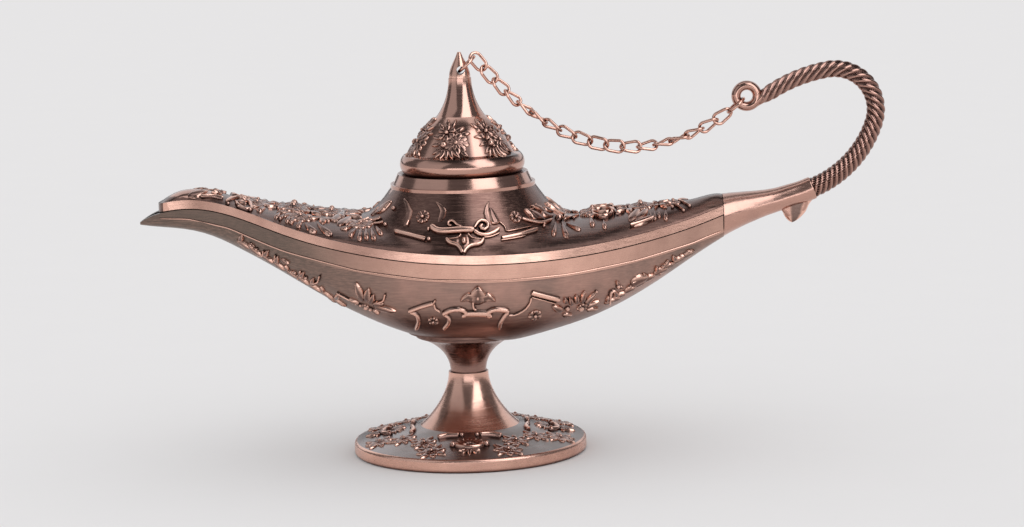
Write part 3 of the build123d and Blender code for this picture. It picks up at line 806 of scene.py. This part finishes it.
    def blossom(self, locate, place, radius, petals, rise):
        """A flower head: drooping petals in a wide ring, shorter and higher ones over it, and a bead."""
        centre = Vector(place)
        broad, base = BLOSSOM_PETAL
        for ring, (reach, lift) in enumerate(BLOSSOM_RINGS):
            width = broad * radius * reach * math.sin(math.pi / petals)
            for k in range(petals):
                way = heading(360 * (k + 0.5 * ring) / petals) * radius * reach
                places = (centre + base * way, centre + way)
                self.blade(locate, places, width, rise * lift, droop_form, DROOP_HOLLOW)
        self.bead(locate, place, BLOSSOM_BEAD[0] * radius, BLOSSOM_BEAD[1] * rise)

    def mirror(self):
        """The same ornament on the far side of the lamp."""
        count = len(self.points)
        self.points += [Vector((spot.x, -spot.y, spot.z)) for spot in self.points]
        self.heights += self.heights
        self.faces += [tuple(k + count for k in reversed(face)) for face in self.faces]

    def finish(self, name, material, body, slot):
        piece(name, self.points, self.faces, self.heights, material, body, slot)


# Cover ornament, at pixels of the picture. Straps, petals and leaves: rise of a group, then width and places
# of each. Beads: radius, rise, stretch, places. Rosettes: radius, petals, rise, place. Growth of the petals'
# and leaves' width and rise
COVER_STRAPS = (
    (1.4, (2.6, (432, 226.5), (437, 230.5), (446, 231.3), (460, 230.2), (474, 230.2))),
    (1.2, (1.0, (462, 228), (457, 225.5), (453, 221.5), (449, 222.5), (449, 226), (452, 226.5)),
     (0.9, (630.3, 227), (642, 223.5), (655, 219))),
    (1.3,
     (1.3, (474, 229), (479, 221.5), (485.5, 222), (488, 226.5), (484.5, 230.5), (480, 228.5), (482, 225.5)),
     (1.5, (446.5, 239.8), (450, 243.5), (456.5, 245.5), (460, 249), (463, 254)),
     (1.5, (483.3, 239.8), (480, 244.5), (472, 246), (467, 249), (463.5, 254)),
     (1.0, (591.5, 213.5), (596, 217.3), (603.5, 218.3), (610, 216.5), (614, 211.5))),
    (1.1, (1.6, (474, 231), (479, 234.5), (486, 235.5), (493, 233), (498.6, 229))),
    (0.7, (0.6, (483.7, 238), (491, 237), (499, 233.7)), (0.6, (461, 234.5), (457.5, 238), (447, 239.5)),
     (0.6, (468, 234), (472.5, 238.3), (482.5, 239.8)), (0.5, (409.5, 221), (407.5, 226))),
    (1.0, (1.8, (395, 231.8), (410, 235.4), (426, 239.4)), (1.7, (501.3, 238.5), (519, 235), (537, 230)),
     (1.2, (521.2, 219.1), (531, 222), (541, 223.7), (551, 221)),
     (1.3, (226, 203), (232, 199), (242, 199.5), (250, 204), (251, 210), (245, 210.5), (239, 207),
      (236, 204)),
     (0.8, (358, 226), (363, 224.5), (368, 223)), (0.8, (360, 223), (365, 221.5), (369.5, 219.5)),
     (0.8, (373, 222), (378, 220.5), (382, 218.5)), (0.8, (374, 225), (379, 224.5), (384, 223))),
    (0.6, (0.5, (501, 240.8), (513, 239), (525, 236.4)),
     (0.5, (499, 222), (504.5, 227), (506.5, 231.5), (518, 229.5), (531, 226.8)),
     (0.5, (529, 210), (534.3, 208), (535, 204))),
    (0.9, (0.7, (616, 214.5), (620, 214), (624, 212.5)), (0.6, (673.7, 205.2), (679, 208), (683.6, 211.4)),
     (0.6, (678.3, 201.6), (684, 203.5), (689.7, 206.8)), (1.2, (200.5, 197.2), (212, 196.7), (223, 199))),
)
COVER_PETALS = (
    (1.0, (1.3, (361, 229), (359.3, 241)), (1.3, (365.5, 229), (366.7, 239.5)),
     (1.4, (371, 229), (374.4, 240)), (1.4, (376, 227), (381.5, 235)), (1.3, (356, 229), (350, 237)),
     (1.3, (301, 221), (298, 228.5)), (2.0, (305, 224), (315, 233.5)), (1.9, (317, 224), (331, 236)),
     (1.2, (294, 219), (290.5, 224)), (1.2, (290, 217), (286.5, 223)), (1.6, (264, 208), (258.5, 212)),
     (2.0, (553, 216.5), (540.5, 214.5)), (1.3, (555.5, 223), (553.4, 236)),
     (1.5, (561.5, 223), (566.8, 238)), (1.4, (566, 224), (580.5, 230.5)), (1.6, (553, 212), (543, 209)),
     (1.4, (591, 218), (592.8, 226.5)), (1.2, (603.5, 221), (605, 229)), (0.9, (650, 213), (652, 221)),
     (0.9, (654.5, 212.5), (655, 220.5)), (0.9, (659, 211), (659, 218.5)), (1.2, (665.5, 211), (666, 221)),
     (2.6, (489.5, 208), (496, 225))),
    (0.9, (1.1, (352, 227), (344, 230)), (1.2, (280, 213), (275.5, 219)), (0.9, (284, 215), (280, 220)),
     (0.9, (551, 220), (542.5, 224.5)), (0.9, (567, 219.5), (579, 215.5)),
     (1.3, (554.5, 210), (546.5, 204)), (1.2, (590, 215), (584, 216))),
)
COVER_LEAVES = (
    (1.0, (2.6, (353, 214), (370, 207)), (3.0, (376, 214), (392, 201)), (2.4, (333, 222), (345, 212)),
     (2.4, (338, 226), (352, 217)), (2.0, (311, 212), (322, 207)), (1.8, (537, 220), (528, 212.5)),
     (2.4, (563, 204), (583, 213)), (2.4, (630, 222), (640, 208)), (2.4, (636, 221), (648, 209)),
     (2.2, (262, 203.5), (276, 209)), (2.0, (252, 201), (262, 205)), (2.2, (372, 216), (380, 207)),
     (2.0, (356, 221), (346, 224)), (2.0, (320, 219), (330, 222)),
     (2.2, (545, 219), (532, 214), (524, 209)), (1.8, (547, 216), (540, 209), (530, 205.5))),
    (0.9, (1.6, (340, 229), (350, 229)), (3.0, (188, 197), (208, 190.5)), (1.8, (610, 208), (622, 204.5))),
    (1.1, (2.4, (630.3, 226.5), (656, 216))),
    (0.6, (1.6, (438.5, 223), (443.5, 211), (435.5, 201.6)), (1.5, (491, 226), (486, 213), (489, 200.5)),
     (3.4, (464, 233), (463.3, 255)), (2.0, (462, 238), (453, 241.5), (446, 239.5)),
     (2.0, (466, 238), (475, 241.5), (483.5, 239.8))),
    (0.5, (1.9, (404, 227), (409.5, 212), (404, 198))),
)
COVER_BEADS = (
    (0.95, 1.6, 1.5, (464.1, 241.5)),
    (0.75, 1.0, 1.0, (429.1, 239.4)),
    (0.5, 0.9, 1.6, (428.8, 229.2)),
    (0.6, 0.9, 1.3, (394, 208.6)),
    (0.6, 0.9, 1.2, (385.7, 225)),
    (1.5, 1.6, 0.8, (558.7, 218.7)),
    (1.3, 1.1, 0.9, (620.3, 210.5)),
    (0.7, 1.0, 1.0, (250, 210.8)),
    (0.5, 0.9, 1.0, (238.4, 207.6), (228, 204.6), (568.3, 217.9), (573.7, 218.7), (280, 220),
     (543.6, 226.8), (331, 235.6)),
    (0.45, 0.9, 1.0, (556.5, 208), (561.8, 208.2), (558, 211.6), (566.8, 211), (562.5, 211.5),
     (564.9, 214.2)),
    (0.55, 0.9, 1.0, (664.9, 206.8), (668.7, 204.5), (672.5, 207.9), (683.6, 211.4), (689.7, 206.8)),
)
COVER_ROSETTES = (
    (2.1, 8, 1.0, (423, 217)), (1.9, 7, 1.0, (515.5, 217.2)), (1.4, 6, 1.0, (308.8, 218.9)),
    (1.5, 6, 0.9, (347, 213)),
)
COVER_FULLNESS = 1.5
COVER_LIFT = 1.35

# Bowl ornament, at pixels of the picture
BOWL_STRAPS = (
    (0.8, (0.9, (473, 301), (473.4, 307), (476, 309)), (0.8, (378, 302), (383.5, 300), (385.5, 293.5)),
     (0.7, (311.8, 282), (318, 281.5), (320.3, 275)), (0.6, (631, 282), (638, 278.5), (645, 275))),
    (1.0, (2.6, (464, 313.4), (477, 313.1), (491, 313.6)),
     (1.9, (443, 313.5), (450, 310), (458, 308.8), (464.5, 310.5), (466, 314), (462, 315.2)),
     (1.9, (509, 310.5), (500, 309), (493, 309.3), (488, 312), (488, 315.2), (492, 314.5))),
    (0.9, (1.7, (409.2, 310.8), (421, 306.5), (433.4, 302.9)),
     (1.6, (410.5, 311), (417, 314.5), (419, 321), (416.5, 328)),
     (1.6, (443.5, 313.7), (448, 316.5), (449, 321.5), (444, 328)),
     (1.5, (508, 311), (504, 316), (500.5, 322), (499.4, 327)),
     (2.0, (531.2, 292.5), (545, 296), (559.2, 299.3)),
     (1.1, (609, 303), (609.3, 297), (610.5, 291.5), (615, 289.5))),
    (0.7, (0.7, (433.2, 303.5), (435.5, 299.5)), (0.8, (434.2, 303.5), (435.5, 308), (440, 311.3)),
     (0.7, (508.3, 314.3), (515, 314), (524, 309.5), (529.5, 303), (531.2, 297)),
     (0.7, (358, 303), (346, 297), (337, 292)), (0.6, (275.2, 260), (275.5, 257), (275.8, 254.5)),
     (0.6, (258, 254), (263, 255), (264, 250))),
    (0.6, (0.5, (531.5, 296.8), (544, 300), (556, 303.2))),
)
BOWL_LEAVES = (
    (0.9, (1.7, (366.5, 301), (368.9, 287.5)), (1.4, (370.5, 303), (374, 294)),
     (1.5, (373, 304), (384, 303)), (1.4, (372, 309), (380, 313.5)), (1.2, (576.5, 303.5), (576, 294)),
     (1.3, (581.5, 303), (584.4, 290)), (1.4, (585, 304.5), (596, 291)),
     (1.3, (586.5, 307), (599.5, 299.5)), (1.2, (586, 310), (598, 307)), (1.1, (572, 305), (569, 296.5)),
     (1.0, (566, 303), (564.5, 297)), (1.0, (657, 272), (656, 265.5)), (1.0, (661, 269.5), (664.5, 263)),
     (1.2, (665, 267), (671, 262)), (1.3, (678, 259.5), (684, 253.5)), (3.6, (477.8, 305), (477.8, 285.5)),
     (2.0, (475, 302), (468, 296.5), (460.5, 301.5)), (2.0, (480.5, 302), (488, 296.5), (495.5, 301.5)),
     (1.8, (363.5, 301), (355.7, 281.5)), (1.8, (373.5, 306), (397, 311)), (1.7, (309, 284), (324, 291)),
     (1.6, (327, 294), (338, 301.5)), (1.8, (562, 311), (552, 305)), (2.2, (611, 300), (621, 295.5)),
     (3.0, (630, 284), (649, 275)), (1.8, (655, 273), (668, 266))),
    (0.8, (0.9, (618, 285), (616.5, 280.5)), (0.9, (619, 287), (623, 287)), (1.0, (246, 243), (237, 240)),
     (0.9, (301, 275), (300, 270)), (0.9, (297, 274), (292, 270.5)), (1.6, (360, 305), (349, 298)),
     (1.2, (281, 259), (290, 263.5)), (1.2, (672, 263), (680, 258)), (1.4, (562, 315), (572, 314))),
)
BOWL_BEADS = (
    (0.75, 0.9, 1.6, (477.8, 297.5)),
    (1.0, 1.0, 1.0, (367, 306.8)),
    (0.6, 0.8, 1.0, (361, 304.5), (356.5, 302.5), (296, 275.5), (301.5, 276), (306.5, 277), (275.2, 259.5),
     (253, 246.5)),
    (0.8, 0.9, 1.0, (371, 308.5), (617.9, 286)),
    (0.9, 0.9, 1.0, (567, 308)),
    (1.2, 1.0, 0.9, (580.6, 308)),
    (0.55, 0.8, 1.0, (257, 248.5)),
    (0.5, 0.8, 1.0, (596, 291)),
)
BOWL_ROSETTES = (
    (1.6, 5, 0.9, (433.4, 320.7)), (2.0, 6, 0.9, (535, 315)), (1.7, 6, 0.9, (582, 307)),
    (1.5, 5, 0.9, (366, 307)), (1.3, 5, 0.9, (299, 277)), (1.2, 5, 0.8, (252, 246)),
    (1.3, 5, 0.9, (659, 272)),
)
BOWL_FULLNESS = 1.75
BOWL_LIFT = 1.8

# Sprays along the keel, from one pixel to another, and the fine line under the bowl's band
KEEL_SPRAYS = (((237, 239.5), (344, 304)), ((604, 304), (692, 251)))
KEEL_LEAVES = 9
KEEL_OVERLAP = 1.25
KEEL_LEAF = (3.0, 1.5)
KEEL_SPRIG_BASE = 0.3
KEEL_SPRIG = (2.0, 1.3)
KEEL_LIFT = ((2.0, -7.5), (-3.0, -6.0), (4.5, -6.0))
LINE_STATIONS = (-88.0, 74.0)
LINE_WIDTH = 0.55
LINE_RISE = 0.3
LINE_POINTS = 40

# Guides along the lamp: height of the joint line, half-width of the plan, height of the bowl's rim band, and
# the share of it down to its lower edge
SEAM = (
    (-94, 70.3), (-88, 73.2), (-80, 74.4), (-67, 72.7), (-50, 67.4), (-30, 62.9), (-10, 60.3), (10, 59.5),
    (30, 60.2), (50, 62.4), (65, 65.4), (79, 70.0),
)
HALF_WIDTH = (
    (-94, 1.2), (-88, 5.8), (-78, 7.6), (-62, 14.0), (-45, 22.7), (-25, 30.3), (0, 33.0), (25, 30.0),
    (45, 22.0), (62, 13.0), (75, 7.6), (88, 4.5),
)
BAND = ((-94, 0.4), (-80, 3.2), (-56, 5.2), (79, 5.2))
BAND_SHARE = 0.9


def between(guide, x):
    """Value of a guide at a station, straight between its points."""
    for (x_low, low), (x_high, high) in zip(guide, guide[1:]):
        if x < x_high:
            return low + (high - low) * (x - x_low) / (x_high - x_low)
    return guide[-1][1]


def band_foot(x):
    """Height of the lower edge of the bowl's band."""
    return between(SEAM, x) - BAND_SHARE * between(BAND, x)


# Leaf fans under the blossoms of the deck: spans along the cover, with a share of the half-width, length and
# rise for each row. Flower heads: station, share, radius, petals, rise. The cup blossom, and starts far off
FAN_ROWS = ((0.10, 8.5, 1.7), (0.36, 7.0, 1.2))
FAN_SPANS = ((-70.0, -33.0, FAN_ROWS), (31.0, 61.0, FAN_ROWS[:1]))
FAN_STEP = 8.5
FAN_HEADINGS = (205.0, 300.0, 245.0, 330.0, 270.0)
FAN_SPREAD = ((-48.0, 0.85), (48.0, 0.85), (0.0, 1.0))
FAN_WIDTH = 0.42
FAN_REACH = 0.3
FAN_BASE = 0.1
HEADS = (
    (-49.5, 0.12, 5.0, 10, 2.6), (-38.5, 0.08, 4.0, 9, 2.0), (-60.0, 0.15, 3.4, 8, 1.6),
    (-47.0, 0.50, 4.3, 9, 1.6), (-29.5, 0.48, 4.0, 9, 1.5), (37.5, 0.10, 3.8, 9, 2.3),
    (51.5, 0.08, 3.8, 9, 2.1), (61.0, 0.10, 2.6, 7, 1.3),
)
CUP = (603.5, 214.0)
CUP_RADII = (3.4, 2.6)
CUP_POINTS = 18
CUP_STRAP = (1.3, 1.8, 30)
CUP_BEAD = (2.0, 1.3, 1.0, 8)
FAR_ABOVE = 150.0
FAR_OUT = 60.0


def deck_place(carver):
    """Locator of the deck's places by plan, in millimetres."""
    def locate(place):
        return carver.struck(Vector((place[0], place[1], FAR_ABOVE)) * MM, -UPRIGHT)
    return locate


def fan(carver, locate, base, middle, length, rise):
    """Leaves spread from one base."""
    for turned, share in FAN_SPREAD:
        way = heading(middle + turned) * length * share
        carver.leaf(locate, (base + way * FAN_BASE, base + way), length * share * FAN_WIDTH, rise)


def foliage(carver):
    """Fans and flower heads over the shoulders of the cover, and the cup blossom."""
    locate = deck_place(carver)
    for start, end, rows in FAN_SPANS:
        for k in range(int((end - start) / FAN_STEP) + 1):
            for row, (share, length, rise) in enumerate(rows):
                x = start + FAN_STEP * (k + 0.5 * (row % 2))
                half = between(HALF_WIDTH, x)
                middle = FAN_HEADINGS[(2 * k + 3 * row) % len(FAN_HEADINGS)]
                fan(carver, locate, Vector((x, -share * half)), middle, min(length, FAN_REACH * half), rise)
    for x, share, radius, petals, rise in HEADS:
        carver.blossom(locate, (x, -share * between(HALF_WIDTH, x)), radius, petals, rise)
    around = [Vector(CUP_RADII) * heading(360 * k / CUP_POINTS) for k in range(CUP_POINTS)]
    carver.strap(carver.plot_at(CUP), around, *CUP_STRAP)
    carver.bead(carver.plot_at(CUP), (0, 0), *CUP_BEAD)


def keel_sprays(carver):
    """Leaves that overlap along the keel, with small ones standing off them."""
    for start, end in KEEL_SPRAYS:
        step = (Vector(end) - Vector(start)) / KEEL_LEAVES
        for k in range(KEEL_LEAVES):
            base = Vector(start) + step * k
            carver.leaf(carver.sighted, (base, base + step * KEEL_OVERLAP), *KEEL_LEAF)
            base += step * KEEL_SPRIG_BASE
            carver.leaf(carver.sighted, (base, base + Vector(KEEL_LIFT[k % len(KEEL_LIFT)])), *KEEL_SPRIG)


def band_line(carver):
    """A fine raised line along the lower edge of the bowl's band."""
    def locate(place):
        return carver.struck(Vector((place[0], -FAR_OUT, place[1])) * MM, Vector((0, 1, 0)))
    places = []
    for k in range(LINE_POINTS):
        x = LINE_STATIONS[0] + (LINE_STATIONS[1] - LINE_STATIONS[0]) * k / (LINE_POINTS - 1)
        places.append((x, band_foot(x)))
    carver.strap(locate, places, LINE_WIDTH, LINE_RISE, rows=3 * LINE_POINTS)


def carve(carver, straps, petals, leaves, beads, rosettes, fullness, lift):
    grown = ((carver.strap, straps, 1.0, 1.0), (carver.petal, petals, fullness, lift),
             (carver.leaf, leaves, fullness, lift))
    for raised, groups, wider, higher in grown:
        for rise, *group in groups:
            for width, *places in group:
                raised(carver.sighted, places, width * wider, rise * higher)
    for radius, rise, stretch, *places in beads:
        for place in places:
            carver.bead(carver.sighted, place, radius, rise, stretch)
    for radius, count, rise, place in rosettes:
        carver.rosette(carver.plot_at(place), (0, 0), radius, count, rise)
    carver.mirror()


cover_carver = Carver("cover")
foliage(cover_carver)
carve(cover_carver, COVER_STRAPS, COVER_PETALS, COVER_LEAVES, COVER_BEADS, COVER_ROSETTES,
      COVER_FULLNESS, COVER_LIFT)
cover_carver.finish("cover_relief", deck_relief, "lamp", "cover_copper")

bowl_carver = Carver("bowl")
keel_sprays(bowl_carver)
band_line(bowl_carver)
carve(bowl_carver, BOWL_STRAPS, (), BOWL_LEAVES, BOWL_BEADS, BOWL_ROSETTES, BOWL_FULLNESS, BOWL_LIFT)
bowl_carver.finish("bowl_relief", belly_relief, "lamp", "bowl_copper")

# Lid ornament, in millimetres from the middle of a cluster: base and tip of its leaves, tips of its drooping
# petals, width and rise of both, and its flowers
LID_HEIGHT = 92.6
LID_GROWTH = 1.2
LID_LEAVES = (
    ((-0.8, 3.4), (0.3, 6.2)), ((0.3, 2.2), (2.6, 4.0)), ((-2.6, 3.2), (-3.9, 5.4)),
    ((-3.0, -0.6), (-5.2, -0.9)), ((-3.0, 0.8), (-5.2, 1.8)), ((-2.6, -2.0), (-4.8, -3.2)),
    ((2.2, -2.8), (4.2, -4.0)), ((-1.6, 3.8), (-1.8, 6.4)), ((1.8, 1.6), (4.0, 2.4)),
)
LID_LEAF = (1.7, 1.0)
LID_TIPS = ((-4.0, -4.4), (-2.6, -5.2), (-1.0, -5.5), (0.6, -5.3), (2.2, -4.6))
LID_TIP_BASE = (-0.9, -2.2)
LID_TIP_SPREAD = 0.35
LID_PETAL = (1.8, 1.1)
LID_ROSETTE = ((-1.6, 2.2), 2.3, 6, 1.0)
LID_BEAD = ((-2.0, -1.1), 1.1, 1.2)
LID_BLOSSOM = ((1.0, -0.7), 3.1, 9, 1.4)


def lid_cluster(carver, near):
    """Two blossoms over drooping petals, with leaves above and beside them."""
    def locate(place):
        return near((place[0] * LID_GROWTH, place[1] * LID_GROWTH))
    for places in LID_LEAVES:
        carver.leaf(locate, places, *LID_LEAF)
    for tip in LID_TIPS:
        base = (LID_TIP_BASE[0] + LID_TIP_SPREAD * tip[0], LID_TIP_BASE[1])
        carver.leaf(locate, (base, tip), *LID_PETAL)
    carver.rosette(locate, *LID_ROSETTE)
    carver.bead(locate, *LID_BEAD)
    carver.blossom(locate, *LID_BLOSSOM)


lid_carver = Carver("lid")
for k in range(LID_CLUSTERS):
    outward = heading(LID_START + 360 * k / LID_CLUSTERS).to_3d()
    spot, normal = lid_carver.struck((outward * FAR_OUT + UPRIGHT * LID_HEIGHT) * MM, -outward)
    lid_cluster(lid_carver, lid_carver.plot(spot, normal, UPRIGHT))
lid_carver.finish("lid_relief", deck_relief, "lid", "lid_copper")

# Foot ornament, in millimetres from the middle of a spray: a fan, a cup with its tips, scrolls and posies
FOOT_SPRAYS = 4
FOOT_START = -90.0
FOOT_RADIUS = 23.0
FAR_UP = 20.0
FOOT_FAN = (18.0, 42.0, 66.0, 90.0, 114.0, 138.0, 162.0)
FOOT_FAN_BASE = 0.8
FOOT_FAN_REACH = (5.0, 4.4)
FOOT_FAN_LEAF = (1.9, 1.0)
FOOT_CUP = ((-4.2, -0.6), (-2.4, -2.2), (0, -2.8), (2.4, -2.2), (4.2, -0.6))
FOOT_CUP_STRAP = (1.5, 1.1)
FOOT_TIPS = ((-3.2, -4.6), (-2.0, -6.8), (0, -8.0), (2.0, -6.8), (3.2, -4.6))
FOOT_TIP_BASE = -3.6
FOOT_TIP_SPREAD = 0.2
FOOT_TIP_LEAF = (1.7, 1.2)
FOOT_SCROLL = ((3.0, 6.4), (6.2, 6.8), (9.2, 6.0))
FOOT_SCROLL_STRAP = (1.6, 1.2)
FOOT_BEADS = (((4.8, -0.6), 1.0, 1.5), ((2.2, 6.2), 0.7, 1.1))
FOOT_POSIES = (((11.0, -3.4), 1.3), ((13.2, 3.8), 1.15))
POSY_LEAVES = 8
POSY_START = 10.0
POSY_BASE = 1.4
POSY_REACHES = (3.4, 4.1)
POSY_LEAF = (1.8, 0.9)
POSY_BLOSSOM = (2.3, 6, 1.2)


def posy(carver, locate, centre, size):
    """A blossom in a ring of leaves."""
    for k in range(POSY_LEAVES):
        way = heading(POSY_START + 360 * k / POSY_LEAVES) * size
        places = (centre + POSY_BASE * way, centre + POSY_REACHES[k % 2] * way)
        carver.leaf(locate, places, POSY_LEAF[0] * size, POSY_LEAF[1])
    carver.blossom(locate, centre, POSY_BLOSSOM[0] * size, *POSY_BLOSSOM[1:])


def foot_spray(carver, locate):
    """A fan over a cup and its tips, two posies on each side and scrolls at the trumpet's base."""
    for angle in FOOT_FAN:
        way = heading(angle)
        carver.leaf(locate, (FOOT_FAN_BASE * way, Vector(FOOT_FAN_REACH) * way), *FOOT_FAN_LEAF)
    carver.strap(locate, FOOT_CUP, *FOOT_CUP_STRAP)
    for tip in FOOT_TIPS:
        carver.leaf(locate, ((FOOT_TIP_SPREAD * tip[0], FOOT_TIP_BASE), tip), *FOOT_TIP_LEAF)
    for side in (Vector((-1, 1)), Vector((1, 1))):
        carver.strap(locate, [Vector(place) * side for place in FOOT_SCROLL], *FOOT_SCROLL_STRAP)
        for place, radius, rise in FOOT_BEADS:
            carver.bead(locate, Vector(place) * side, radius, rise)
        for place, size in FOOT_POSIES:
            posy(carver, locate, Vector(place) * side, size)


foot_carver = Carver("foot")
for k in range(FOOT_SPRAYS):
    outward = heading(FOOT_START + 360 * k / FOOT_SPRAYS).to_3d()
    spot, normal = foot_carver.struck((outward * FOOT_RADIUS + UPRIGHT * FAR_UP) * MM, -UPRIGHT)
    foot_spray(foot_carver, foot_carver.plot(spot, normal, -outward))
foot_carver.finish("foot_relief", deck_relief, "lamp", "foot_copper")


# Tones of the CAD nodes' own faces
def tone_faces(node, choose):
    """Give each face of a CAD node one of the node's materials by its middle and facing, in millimetres."""
    for polygon in nodes[node].data.polygons:
        polygon.material_index = choose(polygon.center / MM, polygon.normal)


# Places of the tones, and of each tone among its node's materials
COLLAR_Z = 77.6
STRIP_TILT = 0.6
STRIP_SHARE = 0.9
COVER_END = 75.0
NECK_Z = 34.0
NECK_REACH = 17.5
DISC_REACH = 14.9
EDGE_REACH = 33.2
DECK, STRIP, COLLAR = range(3)
BELLY, RIM, NECK, TAIL = range(4)
TRUMPET, DISC, EDGE = range(3)


def cover_tone(middle, facing):
    if middle.z > COLLAR_Z:
        return COLLAR
    outer = abs(middle.y) > STRIP_SHARE * between(HALF_WIDTH, middle.x)
    return STRIP if outer and abs(facing.z) < STRIP_TILT else DECK


def bowl_tone(middle, facing):
    if middle.z < NECK_Z and math.hypot(middle.x, middle.y) < NECK_REACH:
        return NECK
    if middle.x > COVER_END:
        return TAIL
    return RIM if middle.z > band_foot(middle.x) else BELLY


def foot_tone(middle, facing):
    reach = math.hypot(middle.x, middle.y)
    if reach > EDGE_REACH:
        return EDGE
    return DISC if reach > DISC_REACH else TRUMPET


tone_faces("cover", cover_tone)
tone_faces("bowl", bowl_tone)
tone_faces("foot", foot_tone)
